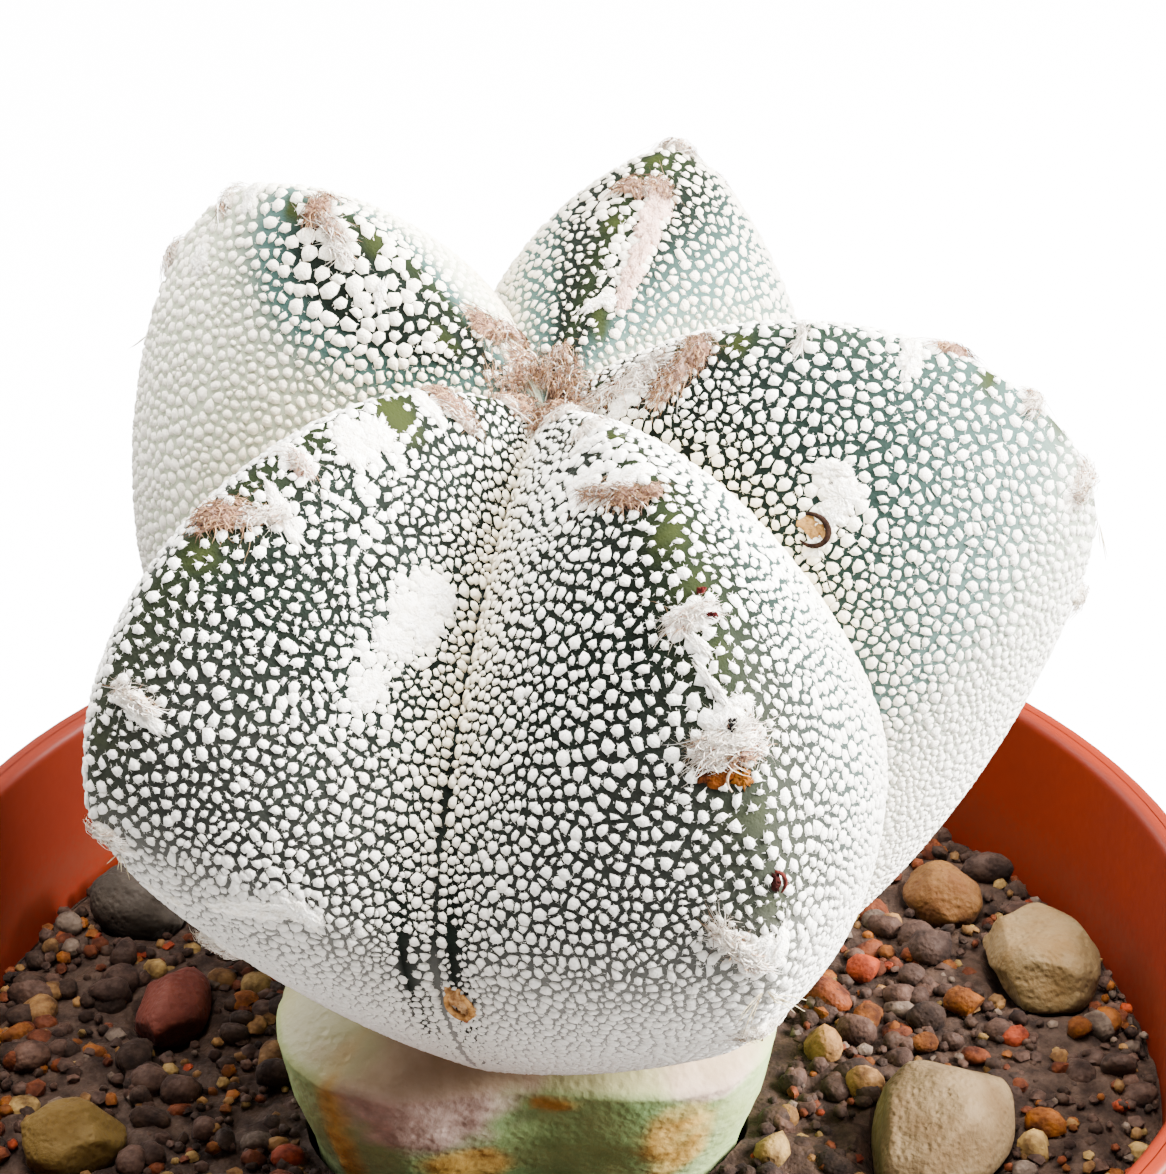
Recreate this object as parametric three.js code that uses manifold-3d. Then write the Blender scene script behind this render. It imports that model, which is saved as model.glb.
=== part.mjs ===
// A potted grafted astrophytum hybrid. A five-ribbed scion covered in felt flecks is grafted on a
// green four-ribbed rootstock, which stands in gritty potting mix in a round plastic pot.
// Millimetres, +Z up. The origin is the centre of the pot's foot, and the plant faces -Y.

import * as THREE from 'three';
import { mergeVertices } from 'three/addons/utils/BufferGeometryUtils.js';
import Module from 'manifold-3d';

const wasm = await Module();
wasm.setup();

// Room left between two pieces that touch.
const GAP = 0.3;

// The pot: a tapered shell with a rim band, a recessed floor and drain holes.
const POT_HEIGHT = 62;
const POT_SIDES = 48;
const RIM_RADIUS = 35;
const RIM_THICKNESS = 1.6;
const RIM_BAND = 7;
const RIM_EDGE = 0.6;
const WALL = 1.2;
const WALL_SLOPE = 0.16;
const FLOOR_TOP = 2.4;
const FLOOR_CORNER = 1.3;
const FOOT_RECESS = 0.8;
const FOOT_WIDTH = 3;
const FOOT_EDGE = 0.5;
const DRAIN_HOLES = 6;
const DRAIN_RADIUS = 3.2;
const DRAIN_CIRCLE = 14;
const DRAIN_SIDES = 12;

// The potting mix: its level, how rough its top is, and the grit that stands out of it.
const MIX_LEVEL = 54;
const MIX_RINGS = 8;
const MIX_ROUGHNESS = 0.55;
const MIX_MOUND = 0.8;
const GRIT_COUNT = 34;
const GRIT_SMALLEST = 1.1;
const GRIT_LARGEST = 2.3;
const GRIT_FLATNESS = 0.75;
const GRIT_SUNK = 0.5;
const GRIT_SPREAD_TRIES = 40;

// The larger stones on the mix: azimuth and distance from the pot's axis, then half-sizes along
// the radius, across it and upwards, how far the middle lies below the mix's level, and colour.
const STONES = [
  { azimuth: 15, distance: 27.2, size: [3.0, 3.9, 2.3], sunk: 0.2, colour: '#c9a888' },
  { azimuth: 33, distance: 25.6, size: [1.9, 2.6, 1.6], sunk: 0.3, colour: '#b3834f' },
  { azimuth: -21, distance: 20.8, size: [3.6, 5.0, 3.0], sunk: 0.6, colour: '#bfa083' },
  { azimuth: -50, distance: 26.4, size: [2.6, 2.3, 1.9], sunk: 0.3, colour: '#8d7a66' },
  { azimuth: -163, distance: 26.0, size: [2.7, 2.2, 1.9], sunk: 0.2, colour: '#b89a6c' },
  { azimuth: 170, distance: 21.0, size: [2.0, 3.2, 1.7], sunk: 0.3, colour: '#9c5527' },
  { azimuth: 150, distance: 26.8, size: [2.8, 2.2, 2.0], sunk: 0.4, colour: '#7c7168' },
  { azimuth: 82, distance: 24.4, size: [2.7, 3.5, 2.1], sunk: 0.3, colour: '#b79d80' },
  { azimuth: -108, distance: 24.8, size: [2.9, 2.2, 2.0], sunk: 0.4, colour: '#a78a69' },
];

// The rootstock: a column with four blunt ribs, which flares under the graft and ends in the mix.
const STOCK_CENTRE_X = -1.6;
const STOCK_TOP = 63.4;
const STOCK_FACE_RADIUS = 10.4;
const STOCK_SIDES = 40;
const STOCK_RIBS = 4;
const STOCK_RIB_DEPTH = 0.105;
// Height above the pot's foot and rib-tip radius, from the bevel under the graft down to the root.
const STOCK_PROFILE = [
  [60.9, 15.4],
  [57.6, 14.7],
  [54.4, 13.5],
  [50, 12.7],
  [43, 12],
  [35, 11.2],
  [29, 9.6],
  [26.4, 6.8],
];

// The scion. Heights here are measured from its growing point, and are negative below it.
const GROWING_POINT = new THREE.Vector3(-0.5, 0, 92.5);
const BASE_DEPTH = 28.8;
const BASE_RADIUS = 10.8;
// Share of the way from growing point to base at which the shoulder and the widest place lie.
const SHOULDER_AT = 0.25;
const WIDEST_AT = 0.62;
// The body leans towards -X by this many degrees, and less and less towards its flat base.
const LEAN = 3.9;
const LEAN_FADE = 8;
// Each rib: azimuth, how far it reaches out, height of its widest place, distance and height of
// its shoulder, how round its lower part is, how narrow its two faces are, and where along its
// crest its areoles lie.
const RIBS = [
  {
    azimuth: -135.5, reach: 29.4, widest: -7.9, shoulder: [12.5, 5.2],
    taper: 1.3, narrow: [1.45, 1],
    areoles: [0.06, 0.13, 0.22, 0.355, 0.5, 0.64, 0.77],
  },
  {
    azimuth: -71.5, reach: 29, widest: -13.2, shoulder: [13, 4.1],
    taper: 1.45, narrow: [1, 1.1],
    areoles: [0.07, 0.17, 0.29, 0.39, 0.475, 0.61, 0.74],
  },
  {
    azimuth: -6, reach: 26.2, widest: -6.2, shoulder: [12, 4.2],
    taper: 1.45, narrow: [1, 1],
    areoles: [0.06, 0.155, 0.26, 0.37, 0.465, 0.56, 0.69],
  },
  {
    azimuth: 66, reach: 24, widest: -7.2, shoulder: [14.9, 6.7],
    taper: 1.5, narrow: [1.4, 1.3],
    areoles: [0.06, 0.12, 0.21, 0.32, 0.44, 0.57, 0.7],
  },
  {
    azimuth: 146, reach: 25.7, widest: -10.8, shoulder: [14.4, 8.9],
    taper: 1.6, narrow: [1.15, 1],
    areoles: [0.07, 0.135, 0.205, 0.3, 0.42, 0.56, 0.7],
  },
];
// The groove that follows each rib: azimuth, reach, height of its widest place, and how far it is
// lifted near the growing point.
const GROOVES = [
  { azimuth: -104, reach: 24.7, widest: -14.4, lift: 0 },
  { azimuth: -39, reach: 19.2, widest: -12, lift: 1 },
  { azimuth: 27, reach: 15.8, widest: -10.8, lift: 3.4 },
  { azimuth: 104, reach: 17.3, widest: -10.8, lift: 4.3 },
  { azimuth: 184, reach: 16.8, widest: -12, lift: 1.4 },
];
// How round a groove's bottom runs, above and below its widest place, and how soon it moves out.
const GROOVE_TOP_ROUND = 1.6;
const GROOVE_FOOT_ROUND = 1.7;
const GROOVE_SWEEP = 1.19;
// The shape of a rib's two faces between crest and groove, near the growing point and lower down,
// and the share of the way over which the first changes into the second.
const FACE_CREST_POWER = [1.3, 1.08];
const FACE_GROOVE_POWER = [0.8, 0.97];
const FACE_CHANGE = 0.4;
// The step over which the skin's slope is measured, as a share of the way down and of a face.
const SLOPE_STEP = 0.01;

// The flecks: a staggered net of points, in which each third point stands up as one fleck. They
// are larger than life and as many as keep the skin covered. A fleck's height, and the depth of
// the channels round it, are shares of the distance between two points of the net there.
const NET_COLUMNS = 90;
const NET_ROWS = 37;
const FLECK_HEIGHT = 0.46;
const CHANNEL_DEPTH = 0.12;
const FLECK_SHIFT = 0.34;
// The row at which the net starts, and the shares of the way down between which the relief sinks
// to what is left of it at the base, where the flecks run together.
const FIRST_ROW = 1.6;
const RELIEF_SINKS = [0.84, 0.98];
const RELIEF_LEFT = 0.3;

// The areoles: woolly tufts that lie across each crest, and the wool in the growing point. Sizes
// are half-sizes along the crest, across it and outwards.
const AREOLE_SIZE = [0.95, 1.6, 0.85];
const YOUNGEST_AREOLE = 0.55;
const GROWN_AREOLES_FROM = 2;
const CROWN_WOOL_SIZE = [1.7, 1.5, 1.1];

// How uneven the lumps are, as the share by which a point may lie nearer to the middle, and the
// seeds of all random draws.
const STONE_UNEVENNESS = 0.2;
const GRIT_UNEVENNESS = 0.25;
const WOOL_UNEVENNESS = 0.15;
const MIX_SEED = 7;
const FLECK_SEED = 11;
const STONE_SEED = 100;
const GRIT_SEED = 200;
const CROWN_SEED = 290;
const AREOLE_SEED = 300;

// Mulberry32: the same random numbers at each run.
function seededRandom(seed) {
  let state = seed;
  return () => {
    state = (state + 0x6d2b79f5) | 0;
    let t = Math.imul(state ^ (state >>> 15), 1 | state);
    t = (t + Math.imul(t ^ (t >>> 7), 61 | t)) ^ t;
    return ((t ^ (t >>> 14)) >>> 0) / 4294967296;
  };
}

function radians(degrees) {
  return THREE.MathUtils.degToRad(degrees);
}

function aroundAxis(azimuth, radius, z) {
  return new THREE.Vector3(radius * Math.cos(azimuth), radius * Math.sin(azimuth), z);
}

// A closed solid through rings of points, listed from the top down, each ring anticlockwise seen
// from above. Where the rings are staggered, every second one is shifted by half a step.
function solidFromRings(topPoint, rings, bottomPoint, staggered) {
  const count = rings[0].length;
  const points = [topPoint, ...rings.flat(), bottomPoint];
  const bottom = points.length - 1;
  const at = (ring, step) => 1 + ring * count + (step % count);
  const faces = [];
  for (let step = 0; step < count; step += 1) {
    faces.push(0, at(0, step), at(0, step + 1));
    faces.push(bottom, at(rings.length - 1, step + 1), at(rings.length - 1, step));
    for (let ring = 0; ring + 1 < rings.length; ring += 1) {
      const [a, aNext] = [at(ring, step), at(ring, step + 1)];
      const [b, bNext] = [at(ring + 1, step), at(ring + 1, step + 1)];
      if (staggered && ring % 2 === 1) {
        faces.push(a, b, bNext, a, bNext, aNext);
      } else {
        faces.push(a, b, aNext, b, bNext, aNext);
      }
    }
  }
  const geometry = new THREE.BufferGeometry();
  geometry.setAttribute('position', new THREE.Float32BufferAttribute(points.flatMap((p) => p.toArray()), 3));
  geometry.setIndex(faces);
  return geometry;
}

function solidOf(geometry) {
  const bare = geometry.clone();
  bare.deleteAttribute('normal');
  bare.deleteAttribute('uv');
  const merged = mergeVertices(bare);
  return new wasm.Manifold(new wasm.Mesh({
    numProp: 3,
    vertProperties: new Float32Array(merged.attributes.position.array),
    triVerts: new Uint32Array(merged.index.array),
  }));
}

function geometryOf(solid) {
  const mesh = solid.getMesh();
  const geometry = new THREE.BufferGeometry();
  geometry.setAttribute('position', new THREE.BufferAttribute(new Float32Array(mesh.vertProperties), 3));
  geometry.setIndex(new THREE.BufferAttribute(new Uint32Array(mesh.triVerts), 1));
  return geometry;
}

// An uneven lump with the given half-sizes, turned so that its height follows the upward axis.
// Room makes it larger all round, which gives the hollow that the same lump lies in.
function lump({ centre, size, along, upward, detail, unevenness, seed, room = 0 }) {
  const random = seededRandom(seed);
  const geometry = new THREE.IcosahedronGeometry(1, detail);
  geometry.deleteAttribute('normal');
  geometry.deleteAttribute('uv');
  const shape = mergeVertices(geometry);
  const across = new THREE.Vector3().crossVectors(upward, along).normalize();
  const forward = new THREE.Vector3().crossVectors(across, upward).normalize();
  const position = shape.attributes.position;
  for (let i = 0; i < position.count; i += 1) {
    const stretch = 1 - unevenness * random();
    const local = new THREE.Vector3().fromBufferAttribute(position, i).multiplyScalar(stretch);
    const point = centre.clone();
    point.addScaledVector(forward, local.x * (size[0] + room));
    point.addScaledVector(across, local.y * (size[1] + room));
    point.addScaledVector(upward, local.z * (size[2] + room));
    position.setXYZ(i, point.x, point.y, point.z);
  }
  return shape;
}

function potInnerRadius(z) {
  return RIM_RADIUS - RIM_THICKNESS - WALL_SLOPE * (POT_HEIGHT - z);
}

function drainHole(index) {
  const azimuth = (index / DRAIN_HOLES) * 2 * Math.PI;
  const hole = new THREE.CylinderGeometry(DRAIN_RADIUS, DRAIN_RADIUS, 2 * FLOOR_TOP, DRAIN_SIDES);
  hole.rotateX(Math.PI / 2);
  const place = aroundAxis(azimuth, DRAIN_CIRCLE, FLOOR_TOP / 2);
  hole.translate(place.x, place.y, place.z);
  return solidOf(hole);
}

function pot() {
  const footRadius = potInnerRadius(0) + WALL;
  const bandBottom = POT_HEIGHT - RIM_BAND;
  const rimInside = RIM_RADIUS - RIM_THICKNESS;
  const profile = [
    [0, FOOT_RECESS],
    [footRadius - FOOT_WIDTH, FOOT_RECESS],
    [footRadius - FOOT_WIDTH, 0],
    [footRadius - FOOT_EDGE, 0],
    [footRadius, FOOT_EDGE],
    [potInnerRadius(bandBottom) + WALL, bandBottom],
    [RIM_RADIUS - RIM_EDGE, bandBottom + RIM_EDGE],
    [RIM_RADIUS, POT_HEIGHT - RIM_EDGE],
    [RIM_RADIUS - RIM_EDGE, POT_HEIGHT],
    [rimInside + RIM_EDGE / 2, POT_HEIGHT],
    [rimInside, POT_HEIGHT - RIM_EDGE],
    [potInnerRadius(FLOOR_TOP + FLOOR_CORNER), FLOOR_TOP + FLOOR_CORNER],
    [potInnerRadius(FLOOR_TOP) - FLOOR_CORNER, FLOOR_TOP],
    [0, FLOOR_TOP],
  ];
  const shell = new THREE.LatheGeometry(profile.map(([r, z]) => new THREE.Vector2(r, z)), POT_SIDES);
  shell.rotateX(Math.PI / 2);
  let solid = solidOf(shell);
  for (let index = 0; index < DRAIN_HOLES; index += 1) {
    solid = solid.subtract(drainHole(index));
  }
  return geometryOf(solid);
}

function stockRing(z, tipRadius, ribDepth) {
  const ring = [];
  for (let step = 0; step < STOCK_SIDES; step += 1) {
    const azimuth = (step / STOCK_SIDES) * 2 * Math.PI;
    const ribWave = Math.cos(STOCK_RIBS * (azimuth - Math.PI / STOCK_RIBS));
    const point = aroundAxis(azimuth, tipRadius * (1 - ribDepth + ribDepth * ribWave), z);
    point.x += STOCK_CENTRE_X;
    ring.push(point);
  }
  return ring;
}

// The rootstock's solid. Room makes it thicker, which gives the hole that it stands in.
function rootstock(room) {
  const rings = [stockRing(STOCK_TOP, STOCK_FACE_RADIUS + room, 0)];
  for (const [z, tipRadius] of STOCK_PROFILE) {
    rings.push(stockRing(z, tipRadius + room, STOCK_RIB_DEPTH));
  }
  const rootEnd = STOCK_PROFILE[STOCK_PROFILE.length - 1][0] - room;
  rings[rings.length - 1].forEach((point) => point.setZ(rootEnd));
  const topMiddle = new THREE.Vector3(STOCK_CENTRE_X, 0, STOCK_TOP);
  const bottomMiddle = new THREE.Vector3(STOCK_CENTRE_X, 0, rootEnd);
  return solidFromRings(topMiddle, rings, bottomMiddle, false);
}

function stoneLump(index, room) {
  const stone = STONES[index];
  const azimuth = radians(stone.azimuth);
  return lump({
    centre: aroundAxis(azimuth, stone.distance, MIX_LEVEL + stone.size[2] / 2 - stone.sunk),
    size: stone.size,
    along: aroundAxis(azimuth, 1, 0),
    upward: new THREE.Vector3(0, 0, 1),
    detail: 1,
    unevenness: STONE_UNEVENNESS,
    seed: STONE_SEED + index,
    room,
  });
}

// The bare body of the mix: it fills the pot from its floor, and its top is rough.
function mixBody(random) {
  const ringAt = (radius, z, roughness) => {
    const ring = [];
    for (let step = 0; step < POT_SIDES; step += 1) {
      const azimuth = (step / POT_SIDES) * 2 * Math.PI;
      ring.push(aroundAxis(azimuth, radius, z + roughness * (random() - 0.5)));
    }
    return ring;
  };
  const edge = potInnerRadius(MIX_LEVEL) - GAP;
  const rings = [];
  for (let index = 1; index <= MIX_RINGS; index += 1) {
    const share = index / MIX_RINGS;
    const mound = MIX_MOUND * (1 - share);
    const roughness = index === MIX_RINGS ? 0 : 2 * MIX_ROUGHNESS;
    rings.push(ringAt(edge * share, MIX_LEVEL + mound, roughness));
  }
  const low = FLOOR_TOP + GAP;
  rings.push(ringAt(potInnerRadius(low + FLOOR_CORNER) - GAP, low + FLOOR_CORNER, 0));
  rings.push(ringAt(potInnerRadius(low) - FLOOR_CORNER - 2 * GAP, low, 0));
  const topMiddle = new THREE.Vector3(0, 0, MIX_LEVEL + MIX_MOUND);
  return solidOf(solidFromRings(topMiddle, rings, new THREE.Vector3(0, 0, low), false));
}

// Places for the grit, spread over the open ring of mix and clear of the stones and the stem.
function gritPlaces(random) {
  const inner = STOCK_PROFILE[0][1] + GRIT_LARGEST;
  const outer = potInnerRadius(MIX_LEVEL) - GRIT_LARGEST - 2 * GAP;
  const stones = STONES.map(({ azimuth, distance, size }) => (
    { place: aroundAxis(radians(azimuth), distance, MIX_LEVEL), reach: Math.max(...size) + GRIT_SMALLEST }
  ));
  const places = [];
  for (let grain = 0; grain < GRIT_COUNT; grain += 1) {
    let best = null;
    let bestRoom = 0;
    for (let attempt = 0; attempt < GRIT_SPREAD_TRIES; attempt += 1) {
      const radius = Math.sqrt(inner ** 2 + (outer ** 2 - inner ** 2) * random());
      const place = aroundAxis(2 * Math.PI * random(), radius, MIX_LEVEL);
      const toGrains = Math.min(Infinity, ...places.map((other) => place.distanceTo(other)));
      const toStones = Math.min(...stones.map((stone) => place.distanceTo(stone.place) - stone.reach));
      const room = Math.min(toGrains, 2 * toStones);
      if (room > bestRoom) {
        best = place;
        bestRoom = room;
      }
    }
    if (best) {
      places.push(best);
    }
  }
  return places;
}

function pottingMix() {
  const random = seededRandom(MIX_SEED);
  let solid = mixBody(random);
  const grains = gritPlaces(random).map((place, index) => {
    const size = THREE.MathUtils.lerp(GRIT_SMALLEST, GRIT_LARGEST, random() ** 2);
    place.z += size * (GRIT_FLATNESS - GRIT_SUNK);
    return solidOf(lump({
      centre: place,
      size: [size, size * THREE.MathUtils.lerp(GRIT_FLATNESS, 1, random()), size * GRIT_FLATNESS],
      along: aroundAxis(2 * Math.PI * random(), 1, 0),
      upward: new THREE.Vector3(0, 0, 1),
      detail: 0,
      unevenness: GRIT_UNEVENNESS,
      seed: GRIT_SEED + index,
    }));
  });
  solid = wasm.Manifold.union([solid, ...grains]);
  solid = solid.subtract(solidOf(rootstock(GAP)));
  for (let index = 0; index < STONES.length; index += 1) {
    solid = solid.subtract(solidOf(stoneLump(index, GAP)));
  }
  return geometryOf(solid);
}

// The outline of a rib's crest: distance from the axis and height, at a share of the way down.
function crestOutline(share, rib) {
  const [shoulderOut, shoulderUp] = rib.shoulder;
  if (share < SHOULDER_AT) {
    const part = share / SHOULDER_AT;
    return [shoulderOut * part, shoulderUp * Math.sin((Math.PI / 2) * part)];
  }
  if (share < WIDEST_AT) {
    const turn = (Math.PI / 2) * ((share - SHOULDER_AT) / (WIDEST_AT - SHOULDER_AT));
    const out = shoulderOut + (rib.reach - shoulderOut) * Math.sin(turn);
    return [out, rib.widest + (shoulderUp - rib.widest) * Math.cos(turn)];
  }
  return lowerOutline(share, rib.reach, rib.widest, rib.taper);
}

// The lower part of a crest or groove, from its widest place in to the base.
function lowerOutline(share, reach, widest, round) {
  const turn = (Math.PI / 2) * Math.min(1, (share - WIDEST_AT) / (1 - WIDEST_AT));
  const inward = Math.max(0, Math.cos(turn)) ** (2 / round);
  const down = Math.sin(turn) ** (2 / round);
  return [BASE_RADIUS + (reach - BASE_RADIUS) * inward, widest - (BASE_DEPTH + widest) * down];
}

function grooveOutline(share, groove) {
  if (share >= WIDEST_AT) {
    return lowerOutline(share, groove.reach, groove.widest, GROOVE_FOOT_ROUND);
  }
  const part = share / WIDEST_AT;
  const turn = (Math.PI / 2) * part;
  const out = groove.reach * Math.sin(turn) ** GROOVE_SWEEP;
  const drop = 1 - Math.max(0, Math.cos(turn)) ** (2 / GROOVE_TOP_ROUND);
  return [out, groove.widest * drop + groove.lift * Math.sin(Math.PI * part)];
}

// How much of the crest's outline is left at a place between crest (0) and groove (1). The ribs
// are fuller towards the growing point and sharper lower down.
function fullness(aside, share, narrow) {
  const lower = THREE.MathUtils.clamp((share - SHOULDER_AT) / FACE_CHANGE, 0, 1);
  const crestPower = THREE.MathUtils.lerp(...FACE_CREST_POWER, lower);
  const groovePower = THREE.MathUtils.lerp(...FACE_GROOVE_POWER, lower);
  return (1 - aside ** crestPower) ** (groovePower * narrow);
}

// A point of the skin. Side runs from -1 in the groove before the rib, over 0 on its crest, to 1
// in the groove after it.
function skinPoint(share, ribIndex, side) {
  const rib = RIBS[ribIndex];
  const before = GROOVES[(ribIndex + RIBS.length - 1) % RIBS.length];
  const after = GROOVES[ribIndex];
  const groove = side < 0 ? before : after;
  const turnOver = ribIndex === 0 && side < 0 ? 360 : 0;
  const [crestOut, crestUp] = crestOutline(share, rib);
  const [grooveOut, grooveUp] = grooveOutline(share, groove);
  const full = fullness(Math.abs(side), share, rib.narrow[side < 0 ? 0 : 1]);
  const out = THREE.MathUtils.lerp(grooveOut, crestOut, full);
  const up = THREE.MathUtils.lerp(grooveUp, crestUp, full);
  const grooveAzimuth = groove.azimuth - turnOver;
  const azimuth = rib.azimuth + Math.abs(side) * (grooveAzimuth - rib.azimuth);
  const point = aroundAxis(radians(azimuth), out, up);
  point.applyAxisAngle(new THREE.Vector3(0, 1, 0), radians(-LEAN) * (1 - share ** LEAN_FADE));
  return point.add(GROWING_POINT);
}

function skinNormal(share, ribIndex, side) {
  const step = SLOPE_STEP;
  const low = Math.max(-1, side - step);
  const high = Math.min(1, side + step);
  const across = skinPoint(share, ribIndex, high).sub(skinPoint(share, ribIndex, low));
  const down = skinPoint(share + step, ribIndex, side).sub(skinPoint(share - step, ribIndex, side));
  return down.cross(across).normalize();
}

// The distance between two points of the net near a place on the skin.
function netSpacing(share, ribIndex, side) {
  const acrossStep = RIBS.length / NET_COLUMNS;
  const downStep = 0.5 / NET_ROWS;
  const low = Math.max(-1, side - acrossStep);
  const high = Math.min(1, side + acrossStep);
  const across = skinPoint(share, ribIndex, low).distanceTo(skinPoint(share, ribIndex, high));
  const above = skinPoint(share - downStep, ribIndex, side);
  const down = above.distanceTo(skinPoint(Math.min(1, share + downStep), ribIndex, side));
  return Math.min(across, down);
}

// The height of the relief at a point of the net: up on a fleck and down in the channels.
function fleckRelief(row, column, share) {
  const diagonal = column - (row - (row % 2)) / 2 - row;
  const onFleck = ((diagonal % 3) + 3) % 3 === 0;
  const sunk = THREE.MathUtils.smoothstep(share, ...RELIEF_SINKS);
  return (onFleck ? FLECK_HEIGHT : -CHANNEL_DEPTH) * THREE.MathUtils.lerp(1, RELIEF_LEFT, sunk);
}

function fleckedBody(random) {
  const columnsPerRib = NET_COLUMNS / RIBS.length;
  const rings = [];
  for (let row = 0; row < NET_ROWS; row += 1) {
    const isBase = row === NET_ROWS - 1;
    const ring = [];
    for (let column = 0; column < NET_COLUMNS; column += 1) {
      const shift = isBase ? 0 : FLECK_SHIFT * (random() - 0.5);
      const drop = isBase ? 0 : FLECK_SHIFT * (random() - 0.5);
      const along = (column + 0.5 * (row % 2) + shift + NET_COLUMNS) % NET_COLUMNS;
      const ribIndex = Math.floor(along / columnsPerRib);
      const side = (2 * (along - ribIndex * columnsPerRib)) / columnsPerRib - 1;
      const share = isBase ? 1 : (row + FIRST_ROW + drop) / (NET_ROWS - 1 + FIRST_ROW);
      const point = skinPoint(share, ribIndex, side);
      if (!isBase) {
        const height = fleckRelief(row, column, share) * netSpacing(share, ribIndex, side);
        point.addScaledVector(skinNormal(share, ribIndex, side), height);
      }
      ring.push(point);
    }
    rings.push(ring);
  }
  const base = GROWING_POINT.clone().setZ(GROWING_POINT.z - BASE_DEPTH);
  return solidOf(solidFromRings(GROWING_POINT, rings, base, true));
}

function areoleTuft(ribIndex, index) {
  const share = RIBS[ribIndex].areoles[index];
  const upward = skinNormal(share, ribIndex, 0);
  const along = skinPoint(share + SLOPE_STEP, ribIndex, 0).sub(skinPoint(share - SLOPE_STEP, ribIndex, 0));
  const growth = THREE.MathUtils.lerp(YOUNGEST_AREOLE, 1, Math.min(1, index / GROWN_AREOLES_FROM));
  return solidOf(lump({
    centre: skinPoint(share, ribIndex, 0),
    size: AREOLE_SIZE.map((value) => value * growth),
    along,
    upward,
    detail: 0,
    unevenness: WOOL_UNEVENNESS,
    seed: AREOLE_SEED + 10 * ribIndex + index,
  }));
}

function scion() {
  const pieces = [fleckedBody(seededRandom(FLECK_SEED))];
  for (let ribIndex = 0; ribIndex < RIBS.length; ribIndex += 1) {
    for (let index = 0; index < RIBS[ribIndex].areoles.length; index += 1) {
      pieces.push(areoleTuft(ribIndex, index));
    }
  }
  pieces.push(solidOf(lump({
    centre: GROWING_POINT,
    size: CROWN_WOOL_SIZE,
    along: new THREE.Vector3(1, 0, 0),
    upward: new THREE.Vector3(0, 0, 1),
    detail: 0,
    unevenness: WOOL_UNEVENNESS,
    seed: CROWN_SEED,
  })));
  return geometryOf(wasm.Manifold.union(pieces));
}

function piece(name, geometry, colour, roughness) {
  const material = new THREE.MeshStandardMaterial({ color: colour, roughness, metalness: 0 });
  const mesh = new THREE.Mesh(geometry, material);
  mesh.name = name;
  return mesh;
}

const plant = new THREE.Group();
plant.add(piece('pot', pot(), '#8a2f12', 0.5));
plant.add(piece('potting_mix', pottingMix(), '#4a3a33', 0.95));
STONES.forEach((stone, index) => {
  plant.add(piece(`stone_${index + 1}`, stoneLump(index, 0), stone.colour, 0.9));
});
plant.add(piece('rootstock', rootstock(0), '#8c9a68', 0.6));
plant.add(piece('scion', scion(), '#cfd0c6', 0.9));

export default plant;
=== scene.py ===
import math

import bpy
import numpy as np
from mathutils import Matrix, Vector, noise
from mathutils.kdtree import KDTree


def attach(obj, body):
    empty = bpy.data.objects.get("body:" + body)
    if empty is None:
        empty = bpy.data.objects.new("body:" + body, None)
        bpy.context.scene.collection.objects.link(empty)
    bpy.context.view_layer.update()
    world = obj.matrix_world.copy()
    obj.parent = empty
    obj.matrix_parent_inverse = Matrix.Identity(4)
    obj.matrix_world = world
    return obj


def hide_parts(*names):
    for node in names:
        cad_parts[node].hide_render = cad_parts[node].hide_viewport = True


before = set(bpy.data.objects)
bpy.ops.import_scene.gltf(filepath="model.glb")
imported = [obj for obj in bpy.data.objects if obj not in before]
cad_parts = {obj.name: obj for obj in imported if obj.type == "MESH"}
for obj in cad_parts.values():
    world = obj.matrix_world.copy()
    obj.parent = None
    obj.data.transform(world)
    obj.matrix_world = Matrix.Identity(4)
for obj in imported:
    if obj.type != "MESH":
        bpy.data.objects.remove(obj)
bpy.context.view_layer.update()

# The pot: a round nursery pot of thin brick-red plastic with a stepped rim band, a raised foot
# and six drain holes. It is injection moulded in one piece. Its wall leans outwards so that pots
# nest, and damp mix has left the inside dull and a little stained.
MM = 0.001
AXIS = (0, 0)
POT_HEIGHT = 62
RIM_RADIUS = 35
RIM_THICKNESS = 1.6
RIM_BAND = 7
WALL = 1.2
WALL_SLOPE = 0.16
FLOOR_TOP = 2.4
FOOT_RECESS = 0.8
FOOT_WIDTH = 3
DRAIN_HOLES = 6
DRAIN_RADIUS = 3.2
DRAIN_CIRCLE = 14
DRAIN_SIDES = 32
POT_SIDES = 108
PROFILE_STEP = 2.5
POT_EDGE_ANGLE = 38


def linear(colour):
    """A colour written as #rrggbb, as the linear values that a shader takes."""
    values = [int(colour[place : place + 2], 16) / 255 for place in (1, 3, 5)]
    return [v / 12.92 if v <= 0.04045 else ((v + 0.055) / 1.055) ** 2.4 for v in values] + [1.0]


def add_object(name, data):
    added = bpy.data.objects.new(name, data)
    bpy.context.scene.collection.objects.link(added)
    return added


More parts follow.
